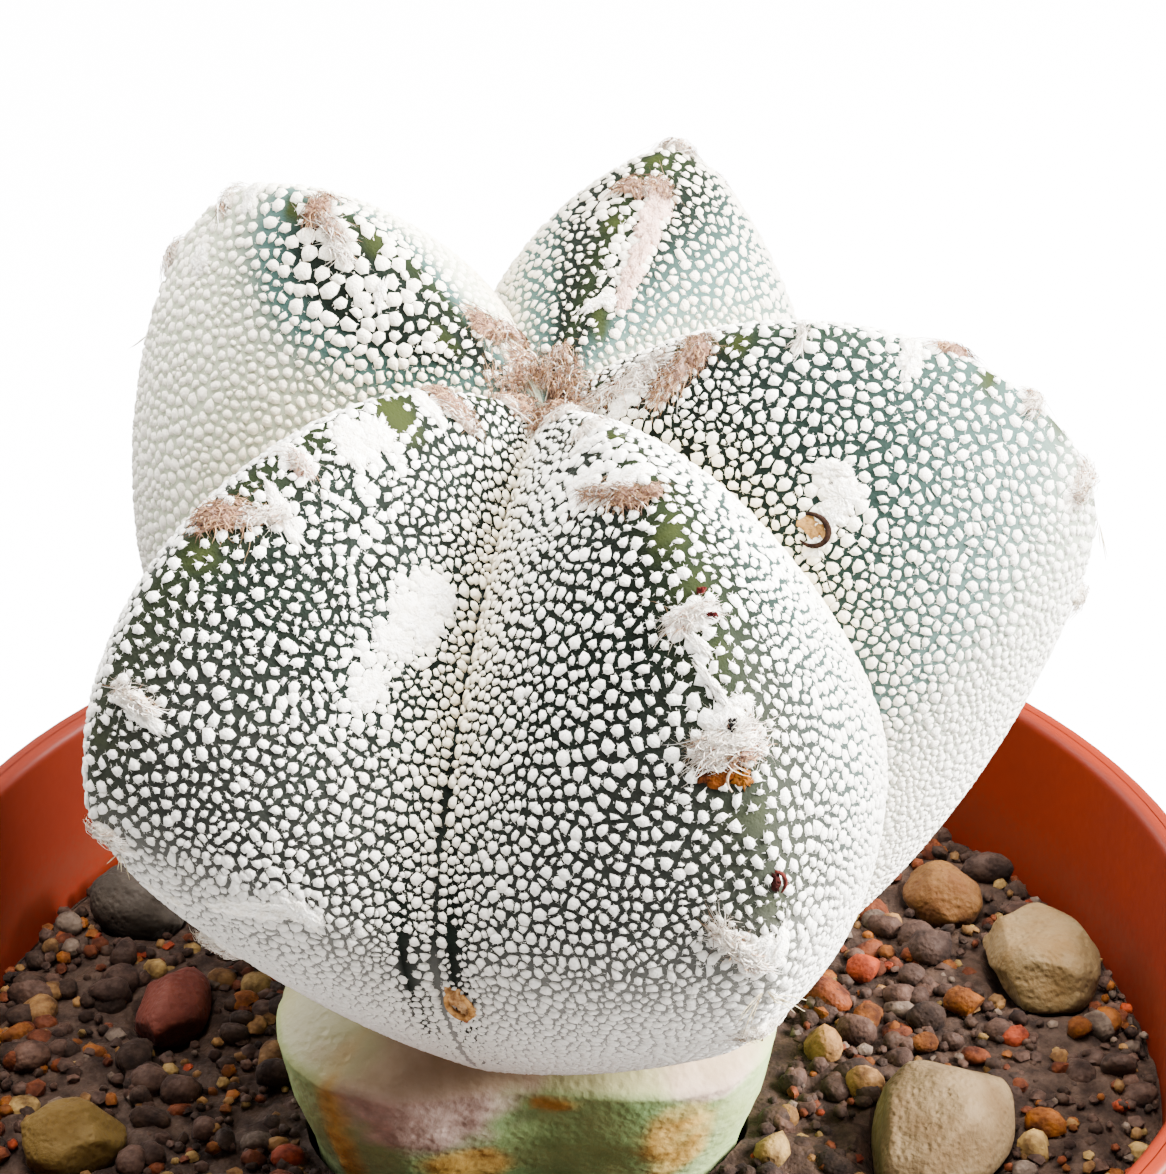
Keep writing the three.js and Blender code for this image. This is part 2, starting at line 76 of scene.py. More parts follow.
class Nodes:
    """A node tree, and the kinds of node that are placed in it."""

    def __init__(self, tree):
        self.tree = tree

    def feed(self, socket, value):
        """Gives a socket a number, a colour written as #rrggbb, or another node's output."""
        if isinstance(value, bpy.types.NodeSocket):
            self.tree.links.new(value, socket)
        else:
            socket.default_value = linear(value) if isinstance(value, str) else value

    def place(self, kind, inputs, **settings):
        """Adds a node with its settings and what is fed to it, and returns its outputs."""
        node = self.tree.nodes.new("ShaderNode" + kind)
        for name, value in settings.items():
            setattr(node, name, value)
        for name, value in inputs.items():
            self.feed(node.inputs[name], value)
        return node.outputs

    def sums(self, operation, *values):
        return self.place("Math", dict(enumerate(values)), operation=operation)[0]

    def ramped(self, value, low, high, to_low=0.0, to_high=1.0):
        """A value carried smoothly from one range to another."""
        ends = {0: value, 1: low, 2: high, 3: to_low, 4: to_high}
        return self.place("MapRange", ends, interpolation_type="SMOOTHSTEP")[0]

    def blended(self, share, first, second, way="MIX"):
        """A colour between two colours, or another mix of them."""
        return self.place("Mix", {0: share, 6: first, 7: second}, data_type="RGBA", blend_type=way)[2]


def shader_group(name, inputs, outputs):
    """An empty node group with named sockets, and the sockets of its two end nodes."""
    group = Nodes(bpy.data.node_groups.new(name, "ShaderNodeTree"))
    sockets, nodes = group.tree.interface, group.tree.nodes
    for label, value in inputs.items():
        kind = "NodeSocketColor" if isinstance(value, str) else "NodeSocketFloat"
        group.feed(sockets.new_socket(name=label, in_out="INPUT", socket_type=kind), value)
    for label, kind in outputs.items():
        sockets.new_socket(name=label, in_out="OUTPUT", socket_type=kind)
    return group, nodes.new("NodeGroupInput").outputs, nodes.new("NodeGroupOutput").inputs


def mottle_group():
    """Patches of two colours that drift into each other, and the mask that mixes them."""
    group, given, result = shader_group(
        "Mottle",
        {"Light": "#ffffff", "Dark": "#000000", "Scale": 300.0, "Contrast": 0.5, "Variant": 0.0},
        {"Colour": "NodeSocketColor", "Mask": "NodeSocketFloat"},
    )
    drift = {"Vector": group.place("TexCoord", {})["Object"], "Detail": 5.0, "Roughness": 0.6}
    drift |= {"W": given["Variant"], "Scale": given["Scale"]}
    cloud = group.place("TexNoise", drift, noise_dimensions="4D")[0]
    half = group.sums("MULTIPLY", given["Contrast"], 0.5)
    low, high = group.sums("SUBTRACT", 0.5, half), group.sums("ADD", 0.5, half)
    mask = group.ramped(cloud, 0.3, 0.7, low, high)
    group.feed(result["Colour"], group.blended(mask, given["Dark"], given["Light"]))
    group.feed(result["Mask"], mask)
    return group.tree


def grain_group():
    """The height of a fine surface grain: soft bumps with smaller pits among them."""
    sockets = {"Scale": 2000.0, "Pits": 0.3, "Variant": 0.0}
    group, given, result = shader_group("Grain", sockets, {"Height": "NodeSocketFloat"})
    where = group.place("TexCoord", {})["Object"]
    bumpy = {"Vector": where, "W": given["Variant"], "Scale": given["Scale"], "Detail": 3.0}
    bumps = group.place("TexNoise", bumpy | {"Roughness": 0.55}, noise_dimensions="4D")[0]
    finer = group.sums("MULTIPLY", given["Scale"], 1.3)
    pits = group.place("TexVoronoi", {"Vector": where, "Scale": finer})["Distance"]
    depth = group.sums("MULTIPLY", group.ramped(pits, 0.0, 0.6), given["Pits"])
    group.feed(result["Height"], group.sums("ADD", bumps, depth))
    return group.tree


MOTTLE = mottle_group()
GRAIN = grain_group()


class Finish(Nodes):
    """A material: mottled colour and roughness over a fine grain. The two roughnesses are those
    of its light and its dark patches, scales are per metre, and the grain's depth is in
    millimetres. More can be laid over it."""

    def __init__(self, name, light, dark, scale, contrast, rough, grain, depth, variant, gloss=0.5):
        self.material = bpy.data.materials.new(name)
        self.material.use_nodes = True
        super().__init__(self.material.node_tree)
        self.sockets = self.tree.nodes["Principled BSDF"].inputs
        self.sockets["Specular IOR Level"].default_value = gloss
        self.base, mask = self.mottled(light, dark, scale, contrast, variant)
        self.feed(self.sockets["Base Color"], self.base)
        self.feed(self.sockets["Roughness"], self.ramped(mask, 0.0, 1.0, rough[1], rough[0]))
        height = self.place("Group", {"Scale": grain, "Variant": variant}, node_tree=GRAIN)["Height"]
        bump = self.place("Bump", {"Strength": 1.0, "Distance": depth * MM, "Height": height})
        self.feed(self.sockets["Normal"], bump["Normal"])

    def mottled(self, light, dark, scale, contrast, variant):
        given = {"Light": light, "Dark": dark, "Scale": scale, "Contrast": contrast, "Variant": variant}
        patches = self.place("Group", given, node_tree=MOTTLE)
        return patches["Colour"], patches["Mask"]

    def carried(self, name, part=1.0):
        """A value that the mesh carries at each of its points, or a part of it."""
        value = self.place("Attribute", {}, attribute_name=name)["Fac"]
        return value if part == 1.0 else self.sums("MULTIPLY", value, part)

    def layered(self, *layers):
        """The material, with colours laid over the mottled one, each where its mask says."""
        colour = self.base
        for mask, over in layers:
            colour = self.blended(mask, colour, over)
        self.feed(self.sockets["Base Color"], colour)
        return self.material

    def tinted(self):
        """The material, with its colour multiplied by the tint that the mesh carries."""
        tint = self.place("Attribute", {}, attribute_name="tint")["Color"]
        self.feed(self.sockets["Base Color"], self.blended(1.0, tint, self.base, "MULTIPLY"))
        return self.material


def mesh_piece(name, points, triangles, material, slot, **carried):
    """An object from points in millimetres and triangles, with values carried by its points."""
    mesh = bpy.data.meshes.new(name)
    points = np.asarray(points, dtype=np.float32) * MM
    triangles = np.asarray(triangles, dtype=np.int32)
    mesh.vertices.add(len(points))
    mesh.vertices.foreach_set("co", points.ravel())
    mesh.loops.add(triangles.size)
    mesh.loops.foreach_set("vertex_index", triangles.ravel())
    mesh.polygons.add(len(triangles))
    mesh.polygons.foreach_set("loop_start", np.arange(0, triangles.size, 3, dtype=np.int32))
    mesh.polygons.foreach_set("use_smooth", np.full(len(triangles), True))
    for label, values in carried.items():
        kind, field = ("FLOAT", "value") if np.ndim(values) == 1 else ("FLOAT_COLOR", "color")
        layer = mesh.attributes.new(label, kind, "POINT")
        layer.data.foreach_set(field, np.asarray(values, dtype=np.float32).ravel())
    mesh.update(calc_edges=True)
    mesh.validate()
    mesh.materials.append(material)
    piece = add_object(name, mesh)
    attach(piece, "root")
    return piece


def rounded_profile(corners, longest):
    """Points along a profile of (radius, height, rounding) corners, with no step too long."""
    path = []
    for index, (radius, height, rounding) in enumerate(corners):
        here = np.array([radius, height], float)
        if not rounding:
            path.append(here)
            continue
        back, on = np.array(corners[index - 1][:2]) - here, np.array(corners[index + 1][:2]) - here
        back, on = back / np.linalg.norm(back), on / np.linalg.norm(on)
        path.append(here + back * rounding * 1.5)
        for turn in np.linspace(0, 1, 7):
            start, end = here + back * rounding, here + on * rounding
            path.append((1 - turn) ** 2 * start + 2 * turn * (1 - turn) * here + turn**2 * end)
        path.append(here + on * rounding * 1.5)
    filled = [path[0]]
    for here, there in zip(path, path[1:]):
        steps = max(1, math.ceil(np.linalg.norm(there - here) / longest))
        filled += [here + (there - here) * step / steps for step in range(1, steps + 1)]
    return np.array(filled)


def around(sides):
    """Angles in radians, evenly spread over a full turn."""
    return np.arange(sides) / sides * 2 * math.pi


def level_ring(centre, radius, azimuth, height):
    """A ring of points round an upright axis. Several radii and heights give several rings."""
    x, y = centre[0] + radius * np.cos(azimuth), centre[1] + radius * np.sin(azimuth)
    return np.stack([x, y, height + 0 * azimuth], -1)


def closed_rings(rings, top, bottom):
    """Points and triangles of a body built of rings, closed by a point at each end."""
    rings = np.asarray(rings)
    count, sides = rings.shape[:2]
    points = np.concatenate([rings.reshape(-1, 3), [top, bottom]])
    row, step = np.meshgrid(np.arange(count - 1), np.arange(sides), indexing="ij")
    a, b = row * sides + step, row * sides + (step + 1) % sides
    wall = [np.stack([a, a + sides, b], -1), np.stack([b, a + sides, b + sides], -1)]
    step, after = np.arange(sides), (np.arange(sides) + 1) % sides
    low, ends = (count - 1) * sides, np.full((2, sides), count * sides) + [[0], [1]]
    caps = [np.stack([ends[0], step, after], -1), np.stack([ends[1], low + after, low + step], -1)]
    return points, np.concatenate([faces.reshape(-1, 3) for faces in wall + caps])


def joined(parts):
    """Many small meshes as one. Each is points, triangles, and a tint for all or each point."""
    points, triangles, tints = zip(*parts)
    starts = np.cumsum([0] + [len(part) for part in points])
    triangles = [part + start for part, start in zip(triangles, starts)]
    tints = [np.broadcast_to(tint, (len(part), 4)) for tint, part in zip(tints, points)]
    return np.concatenate(points), np.concatenate(triangles), np.concatenate(tints)


def pot_inner_radius(height):
    return RIM_RADIUS - RIM_THICKNESS - WALL_SLOPE * (POT_HEIGHT - height)


def pot_piece(material):
    foot, band = pot_inner_radius(0) + WALL, POT_HEIGHT - RIM_BAND
    corners = [
        (0, FLOOR_TOP, 0),
        (pot_inner_radius(FLOOR_TOP), FLOOR_TOP, 1.3),
        (RIM_RADIUS - RIM_THICKNESS, POT_HEIGHT, 0.5),
        (RIM_RADIUS, POT_HEIGHT, 0.6),
        (RIM_RADIUS, band, 0.4),
        (pot_inner_radius(band) + WALL + 0.25, band, 0.12),
        (pot_inner_radius(band) + WALL, band - 0.6, 0.2),
        (foot, 0, 0.5),
        (foot - FOOT_WIDTH, 0, 0.25),
        (foot - FOOT_WIDTH, FOOT_RECESS, 0.25),
        (0, FOOT_RECESS, 0),
    ]
    radii, heights = rounded_profile(corners, PROFILE_STEP)[1:-1].T[..., None]
    rings = level_ring(AXIS, radii, around(POT_SIDES), heights)
    body = closed_rings(rings, [0, 0, FLOOR_TOP], [0, 0, FOOT_RECESS])
    shell = mesh_piece("pot_shell", *body, material, "pot_plastic")
    holes = []
    for azimuth in around(DRAIN_HOLES):
        centre = DRAIN_CIRCLE * math.cos(azimuth), DRAIN_CIRCLE * math.sin(azimuth)
        ends = [2 * FLOOR_TOP, -1.0]
        rings = [level_ring(centre, DRAIN_RADIUS, around(DRAIN_SIDES), end) for end in ends]
        holes.append((*closed_rings(rings, *[(*centre, end) for end in ends]), 0))
    bores = mesh_piece("bores", *joined(holes)[:2], material, "pot_plastic")
    cut = shell.modifiers.new("drain holes", "BOOLEAN")
    cut.operation = "DIFFERENCE"
    cut.object = bores
    cut.solver = "EXACT"
    graph = bpy.context.evaluated_depsgraph_get()
    drilled = bpy.data.meshes.new_from_object(shell.evaluated_get(graph))
    shell.modifiers.clear()
    shell.data = drilled
    drilled.set_sharp_from_angle(angle=math.radians(POT_EDGE_ANGLE))
    bpy.data.objects.remove(bores)
    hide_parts("pot")


def pot_finish():
    """The plastic, with a stain of damp just above and below the mix's usual level."""
    plastic = Finish("pot plastic", "#571706", "#481103", 60, 0.8, (0.34, 0.52), 900, 0.02, 1.0, 0.1)
    height = plastic.place("SeparateXYZ", {0: plastic.place("TexCoord", {})["Object"]})["Z"]
    ragged = plastic.place("TexNoise", {"Scale": 260.0, "Detail": 6.0}, noise_dimensions="3D")[0]
    level = plastic.sums("ADD", height, plastic.sums("MULTIPLY", ragged, 0.007))
    below, above = plastic.ramped(level, 0.0562, 0.0585), plastic.ramped(level, 0.0575, 0.0605)
    stain = plastic.sums("MULTIPLY", plastic.sums("SUBTRACT", below, above), 0.35)
    return plastic.layered((stain, "#3c2418"))


pot_piece(pot_finish())

# The potting mix: a gritty cactus mix of dark compost, pumice, crushed brick and sand. It is
# poured in round the rootstock and settles to an uneven top, where the coarser grains show.
MIX_LEVEL = 54
MIX_MOUND = 0.8
MIX_GAP = 0.3
MIX_ROUNDING = 1.3
MIX_SIDES = 300
MIX_RINGS = 40
MIX_EDGE_DIP = 1.5
MIX_EDGE_WIDTH = 3
HOLE_ROOM = 0.35
HOLE_BOTTOM = 26.0
MIX_SHOULDER = MIX_LEVEL - 1.5
HOLE_LEVELS = (MIX_SHOULDER, 50, 43, 35, 29.5)
NO_STONE = 1e3
GRAINS_FROM = 12.0
STOCK_AXIS = (-1.6, 0)
STOCK_RIB_DEPTH = 0.105
# The rootstock, from the bevel down to the root: height, and radius at the tips of its ribs.
STOCK_PROFILE = [(60.9, 15.4), (57.6, 14.7), (54.4, 13.5), (50, 12.7)]
STOCK_PROFILE += [(43, 12), (35, 11.2), (29, 9.6), (26.4, 6.8)]
# Each stone: azimuth, distance from the axis, half-sizes outwards, across and up, how far it has
# sunk from where three quarters of it would stand out of the mix, and its light and dark colours.
STONES = [
    (15, 27.2, (3.0, 3.9, 2.3), 0.2, "#514026", "#463113"),
    (33, 25.6, (1.9, 2.6, 1.6), 0.3, "#482b00", "#371900"),
    (-21, 20.8, (3.6, 5.0, 3.0), 0.6, "#4a3a22", "#3a2912"),
    (-50, 26.4, (2.6, 2.3, 1.9), 0.3, "#392c1a", "#261d12"),
    (-163, 26.0, (2.7, 2.2, 1.9), 0.2, "#4b380e", "#382600"),
    (170, 21.0, (2.0, 3.2, 1.7), 0.3, "#431200", "#300800"),
    (150, 26.8, (2.8, 2.2, 2.0), 0.4, "#2e261e", "#1e1812"),
    (82, 24.4, (2.7, 3.5, 2.1), 0.3, "#48361f", "#362612"),
    (-108, 24.8, (2.9, 2.2, 2.0), 0.4, "#422f14", "#2e1e08"),
]
# The grains' colours, with how often each comes.
GRAIN_COLOURS = {"#26170d": 26, "#312017": 22, "#38251b": 14, "#471d03": 12, "#572c00": 8}
GRAIN_COLOURS |= {"#5e4120": 8, "#4d3f34": 6, "#6c542c": 4, "#621f00": 3}
# Each kind of grain: how many, smallest and largest radius, how finely made, and its facets.
GRAIN_KINDS = [(520, 0.7, 1.5, 1, 4), (2900, 0.3, 0.62, 0, 1)]


def stock_radius(height, azimuth):
    """How far the rootstock's skin lies from its middle, at a height and azimuth."""
    tip = np.interp(height, *np.array(STOCK_PROFILE[::-1]).T)
    return tip * (1 - STOCK_RIB_DEPTH * (1 - np.cos(4 * (azimuth - math.pi / 4))))


def noise_at(points, size, seed=0.0):
    """Smooth noise from -1 to 1 at each point. Its bumps are about as wide as the size."""
    shift = np.array([seed * 17.3, seed * 5.1, seed * 9.7])
    return np.array([noise.noise(Vector(p)) for p in np.asarray(points) / size + shift])


def ball(detail):
    """Points and triangles of a unit ball of near-even triangles, from one with twenty faces."""
    ratio = (1 + 5**0.5) / 2
    points = [(-1, ratio, 0), (1, ratio, 0), (-1, -ratio, 0), (1, -ratio, 0)]
    points += [(0, -1, ratio), (0, 1, ratio), (0, -1, -ratio), (0, 1, -ratio)]
    points += [(ratio, 0, -1), (ratio, 0, 1), (-ratio, 0, -1), (-ratio, 0, 1)]
    faces = [(0, 11, 5), (0, 5, 1), (0, 1, 7), (0, 7, 10), (0, 10, 11), (1, 5, 9), (5, 11, 4)]
    faces += [(11, 10, 2), (10, 7, 6), (7, 1, 8), (3, 9, 4), (3, 4, 2), (3, 2, 6), (3, 6, 8)]
    faces += [(3, 8, 9), (4, 9, 5), (2, 4, 11), (6, 2, 10), (8, 6, 7), (9, 8, 1)]
    points = [Vector(p).normalized() for p in points]
    for _ in range(detail):
        halfway, finer = {}, []
        for a, b, c in faces:
            middles = []
            for pair in ((a, b), (b, c), (c, a)):
                key = tuple(sorted(pair))
                if key not in halfway:
                    halfway[key] = len(points)
                    points.append((points[pair[0]] + points[pair[1]]).normalized())
                middles.append(halfway[key])
            ab, bc, ca = middles
            finer += [(a, ab, ca), (ab, b, bc), (ca, bc, c), (ab, bc, ca)]
        faces = finer
    return np.array(points), np.array(faces)


def chipped(points, random, facets, keep):
    """A ball worn to a stone: flat facets at random, each cut to a share of its radius."""
    worn = points.copy()
    for _ in range(facets):
        direction = random.normal(size=3)
        direction /= np.linalg.norm(direction)
        over = worn @ direction - random.uniform(*keep)
        worn -= np.clip(over, 0, None)[:, None] * direction * 0.93
    return worn


def turned(points, turn):
    """Points turned about the upright axis."""
    cos, sin = math.cos(turn), math.sin(turn)
    return points @ np.array([[cos, -sin, 0], [sin, cos, 0], [0, 0, 1]]).T


def stone_place(stone):
    azimuth, distance, size, sunk = stone[:4]
    turn, level = math.radians(azimuth), MIX_LEVEL + size[2] / 2 - sunk
    return np.array([distance * math.cos(turn), distance * math.sin(turn), level]), turn, np.array(size)


def mix_level(from_axis, outer):
    """The mix's height before it is roughened: a low mound that dips beside the pot's wall."""
    dip = np.clip((from_axis - outer + MIX_EDGE_WIDTH) / MIX_EDGE_WIDTH, 0, 1)
    return MIX_LEVEL + MIX_MOUND * (1 - from_axis / outer) - MIX_EDGE_DIP * dip


def under_stones(x, y, room):
    """How high the mix may stand below the stones at each place, or NO_STONE."""
    limit = np.full(np.shape(x), NO_STONE)
    for stone in STONES:
        centre, turn, size = stone_place(stone)
        along = (x - centre[0]) * math.cos(turn) + (y - centre[1]) * math.sin(turn)
        across = -(x - centre[0]) * math.sin(turn) + (y - centre[1]) * math.cos(turn)
        size = size + room
        inside = 1 - (along / size[0]) ** 2 - (across / size[1]) ** 2
        depth = centre[2] - size[2] * np.sqrt(np.clip(inside, 0, 1))
        limit = np.where(inside > 0, np.minimum(limit, depth), limit)
    return limit


def mix_bed():
    """The mix itself: its wall, a rough top, and the hole that the rootstock stands in."""
    azimuth, low = around(MIX_SIDES), FLOOR_TOP + MIX_GAP
    outer = pot_inner_radius(MIX_LEVEL) - MIX_GAP
    rings = [
        level_ring(AXIS, pot_inner_radius(height) - MIX_GAP - inward, azimuth, height)
        for height, inward in ((low, MIX_ROUNDING + MIX_GAP), (low + MIX_ROUNDING, 0), (MIX_SHOULDER, 0))
    ]
    edge = level_ring(AXIS, outer, azimuth, 0)
    hole = level_ring(STOCK_AXIS, stock_radius(MIX_LEVEL, azimuth) + HOLE_ROOM, azimuth, 0)
    for share in np.linspace(1, 0, MIX_RINGS):
        flat = edge * share + hole * (1 - share)
        level = mix_level(np.hypot(*flat.T[:2]), outer) - 0.15
        rough = 0.42 * noise_at(flat, 3.1, 1) + 0.3 * noise_at(flat, 1.3, 2) + 0.2 * noise_at(flat, 0.6, 3)
        flat[:, 2] = np.minimum(level + rough, under_stones(*flat.T[:2], 0.25) - 0.15)
        rings.append(flat)
    for height in HOLE_LEVELS:
        rings.append(level_ring(STOCK_AXIS, stock_radius(height, azimuth) + HOLE_ROOM, azimuth, height))
    return closed_rings(rings, [0, 0, low], [*STOCK_AXIS, HOLE_BOTTOM])


def scattered_grains(random):
    """Places and sizes for the grains on the top, clear of the rootstock and the stones."""
    outer, grains = pot_inner_radius(MIX_LEVEL), []
    for count, smallest, largest, detail, facets in GRAIN_KINDS:
        wanted = len(grains) + count
        while len(grains) < wanted:
            radius = math.sqrt(random.uniform(GRAINS_FROM**2, outer**2))
            azimuth = random.uniform(0, 2 * math.pi)
            x, y = radius * math.cos(azimuth), radius * math.sin(azimuth)
            size = smallest + (largest - smallest) * random.uniform() ** 2.2
            from_stem = math.hypot(x - STOCK_AXIS[0], y)
            stem = stock_radius(MIX_LEVEL + 1, math.atan2(y, x - STOCK_AXIS[0]))
            clear = from_stem > stem + size + 0.25 and radius < outer - size - 0.2
            if not clear or under_stones(x, y, size * 0.8 + 0.1) < NO_STONE:
                continue
            level = mix_level(radius, outer) + size * random.uniform(-0.25, 0.4)
            grains.append((x, y, level, size, detail, facets))
    return grains


def tinted_piece(name, parts, material, slot):
    """One object of many small meshes, each with its tint."""
    points, triangles, tints = joined(parts)
    return mesh_piece(name, points, triangles, material, slot, tint=tints)


def mix_piece(material):
    random = np.random.default_rng(7)
    parts = [(*mix_bed(), linear("#2c1d13"))]
    colours = np.array([linear(colour) for colour in GRAIN_COLOURS])
    chances = np.array(list(GRAIN_COLOURS.values()), float) / sum(GRAIN_COLOURS.values())
    balls = [ball(0), ball(1)]
    for *place, size, detail, facets in scattered_grains(random):
        shape, faces = balls[detail]
        shape = chipped(shape, random, facets, (0.55, 0.85))
        shape = shape * (size * random.uniform(0.7, 1.15, 3) * (1, 1, 0.8))
        turn = random.uniform(0, 2 * math.pi)
        tint = colours[random.choice(len(colours), p=chances)]
        tint = np.clip(tint * random.uniform(0.75, 1.25), 0, 1)
        parts.append((turned(shape, turn) + place, faces, [*tint[:3], 1.0]))
    bed = tinted_piece("potting_mix_grains", parts, material, "mix")
    bed.data.set_sharp_from_angle(angle=math.radians(50))
    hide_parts("potting_mix")


mix = Finish("potting mix", "#ffffff", "#7c706a", 900, 1.0, (0.7, 0.95), 2600, 0.12, 2.0, 0.12)
mix_piece(mix.tinted())

# The stones: pumice, sandstone and brick chips of 4 to 10 mm that lie on the mix. Each is broken
# rock with worn edges, and sits in a shallow dent of its own.
STONE_RELIEF = 0.09
STONE_OVERSIZE = 1.04
LARGE_STONE = 3.4


def stone_finish(index, light, dark):
    name, rough = f"stone {index}", (0.75, 0.95)
    stone = Finish(name, light, dark, 420, 0.95, rough, 1900, 0.16, 10.0 + index, 0.2)
    specks = stone.place("TexVoronoi", {"Scale": 1500.0})["Distance"]
    return stone.layered((stone.sums("MULTIPLY", stone.ramped(specks, 0.34, 0.16), 0.45), "#4c3b2e"))


for index, stone in enumerate(STONES, 1):
    random = np.random.default_rng(100 + index)
    centre, turn, size = stone_place(stone)
    shape, faces = ball(4 if max(size) > LARGE_STONE else 3)
    shape = chipped(shape, random, 9, (0.72, 0.92))
    shape *= 1 + STONE_RELIEF * noise_at(shape, 0.55, index)[:, None]
    points = turned(shape * size * STONE_OVERSIZE, turn) + centre
    placed = mesh_piece(f"stone_chip_{index}", points, faces, stone_finish(index, *stone[4:]), "stone")
    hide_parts(f"stone_{index}")

# The rootstock: a fast-growing columnar cactus with four blunt ribs, cut level for the graft. Its
# green skin has paled on the ribs and gone to grey and ochre cork under the cut. Its top edge is
# bevelled, and the bevel and the tops of the pale ribs are painted darker: painted shade under the scion.
STOCK_TOP = 63.4
STOCK_FACE_RADIUS = 10.4
STOCK_SIDES = 160
STOCK_FOOT = STOCK_PROFILE[-1][0]
BEVEL_FOOT = STOCK_PROFILE[0][0]
# Cork: azimuth, height, half-width in degrees, half-height, and whether it is ochre or grey.
STOCK_CORK = [
    (-112, 61.0, 24, 4.5, "grey"),
    (-100, 62.3, 17, 2.0, "grey"),
    (-50, 61.6, 13, 1.5, "grey"),
    (-104, 55.6, 13, 1.6, "ochre"),
    (-131, 57.5, 3.5, 7.0, "ochre"),
    (-58, 57.5, 8, 3.0, "ochre"),
    (-84, 60.2, 7, 0.6, "ochre"),
    (20, 60.5, 26, 3.4, "grey"),
    (44, 56.5, 4, 6.0, "ochre"),
    (80, 61.5, 22, 2.8, "grey"),
    (104, 56.5, 10, 2.0, "ochre"),
    (150, 61.0, 25, 3.5, "grey"),
    (136, 57.0, 4, 6.0, "ochre"),
    (-165, 59.0, 12, 2.5, "grey"),
]
# The skin's patches: light and dark colour, and the scale, contrast and variant of their mottling.
STOCK_PATCHES = {
    "rib": ("#8c966a", "#76824f", 500.0, 0.9, 4.0),
    "grey": ("#bfa698", "#8f7a6d", 700.0, 1.0, 5.0),
    "ochre": ("#bc9950", "#8f6c2c", 800.0, 1.0, 6.0),
}


def stock_rings():
    """The rings of the skin: over the cut face, down the bevel and down the column."""
    azimuth = around(STOCK_SIDES)
    rings = [(share * STOCK_FACE_RADIUS, STOCK_TOP) for share in np.linspace(0.25, 1, 5)]
    for share in np.linspace(0.12, 1, 9):
        outwards = (stock_radius(BEVEL_FOOT, azimuth) - STOCK_FACE_RADIUS) * share**0.85
        rings.append((STOCK_FACE_RADIUS + outwards, STOCK_TOP + (BEVEL_FOOT - STOCK_TOP) * share**1.15))
    heights = np.concatenate([np.linspace(BEVEL_FOOT, 50, 46), np.linspace(49, STOCK_FOOT, 18)])
    rings += [(stock_radius(height, azimuth), height) for height in heights[1:]]
    return [level_ring(STOCK_AXIS, reach, azimuth, height) for reach, height in rings]


def stock_piece(material):
    points, triangles = closed_rings(stock_rings(), [*STOCK_AXIS, STOCK_TOP], [*STOCK_AXIS, STOCK_FOOT])
    away, height = points - [*STOCK_AXIS, 0], points[:, 2]
    turn = np.degrees(np.arctan2(away[:, 1], away[:, 0]))
    carried = {"grey": np.zeros(len(points)), "ochre": np.zeros(len(points))}
    edge = 0.55 * noise_at(points, 2.6, 4) + 0.3 * noise_at(points, 1.0, 5)
    for at, level, wide, high, kind in STOCK_CORK:
        apart = (turn - at + 180) % 360 - 180
        inside = 1 - (apart / wide) ** 2 - ((height - level) / high) ** 2 + edge
        carried[kind] = np.maximum(carried[kind], np.clip(inside * 1.6, 0, 1))
    outward = away * (1, 1, 0)
    outward /= np.linalg.norm(outward, axis=1)[:, None] + 1e-9
    relief = 0.16 * noise_at(points * (1, 1, 0.5), 1.7, 7) + 0.1 * noise_at(points, 0.7, 8)
    relief *= 0.4 + 0.9 * np.maximum(carried["grey"], carried["ochre"])
    relief[height > 62.8] = -0.05
    crest = np.clip((np.cos(4 * np.radians(turn - 45)) - 0.1) / 0.9, 0, 1) + 0.25 * noise_at(points, 3.0, 6)
    # The pale ribs fade and the bevel darkens towards the cut: painted shade under the scion.
    carried["rib"] = np.clip(crest * np.interp(height, [59.5, 61.5], [1, 0.25]), 0, 1)
    carried["bevel"] = np.interp(height, [60.5, 61.3], [0, 1])
    points = points + outward * (relief - 0.08)[:, None]
    stock = mesh_piece("rootstock_column", points, triangles, material, "stock_skin", **carried)
    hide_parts("rootstock")


def stock_finish():
    skin = Finish("rootstock skin", "#90aa6e", "#74935c", 330, 1.0, (0.42, 0.6), 1500, 0.07, 3.0, 0.12)
    masks = {kind: skin.carried(kind) for kind in STOCK_PATCHES}
    cork = skin.sums("MAXIMUM", masks["grey"], masks["ochre"])
    skin.feed(skin.sockets["Roughness"], skin.ramped(cork, 0.0, 1.0, 0.45, 0.9))
    patches = [(masks[kind], skin.mottled(*look)[0]) for kind, look in STOCK_PATCHES.items()]
    # The bevel is blended towards brown: painted shade under the scion.
    return skin.layered(*patches, (skin.carried("bevel", 0.75), "#877353"))


stock_piece(stock_finish())

# The scion: a hybrid astrophytum with five broad ribs, joined by its cut base to the rootstock.
# Its smooth skin is dark green, olive where it is bald, and painted pale on the far ribs and lit right faces:
# painted glare.
GROWING_POINT = np.array([-0.5, 0.0, 92.5])
BASE_DEPTH = 28.8
BASE_RADIUS = 10.8
SHOULDER_AT = 0.25
WIDEST_AT = 0.62
LEAN = 3.9
SLOPE_STEP = 0.004
SKIN_ROWS = 120
SKIN_COLUMNS = 36
# Each rib: azimuth, reach, height of the widest place, distance and height of the shoulder, how
# round it is below, and how narrow its face before and its face after the crest are.
RIBS = np.array([
    (-135.5, 29.4, -7.9, 12.5, 5.2, 1.3, 1.45, 1.0),
    (-71.5, 29.0, -13.2, 13.0, 4.1, 1.45, 1.0, 1.1),
    (-6.0, 26.2, -6.2, 12.0, 4.2, 1.45, 1.0, 1.0),
    (66.0, 24.0, -7.2, 14.9, 6.7, 1.5, 1.4, 1.3),
    (146.0, 25.7, -10.8, 14.4, 8.9, 1.6, 1.15, 1.0),
])
# The groove after each rib: azimuth, reach, height of the widest place and lift near the top.
GROOVES = np.array([
    (-104.0, 24.7, -14.4, 0.0),
    (-39.0, 19.2, -12.0, 1.0),
    (27.0, 15.8, -10.8, 3.4),
    (104.0, 17.3, -10.8, 4.3),
    (184.0, 16.8, -12.0, 1.4),
])
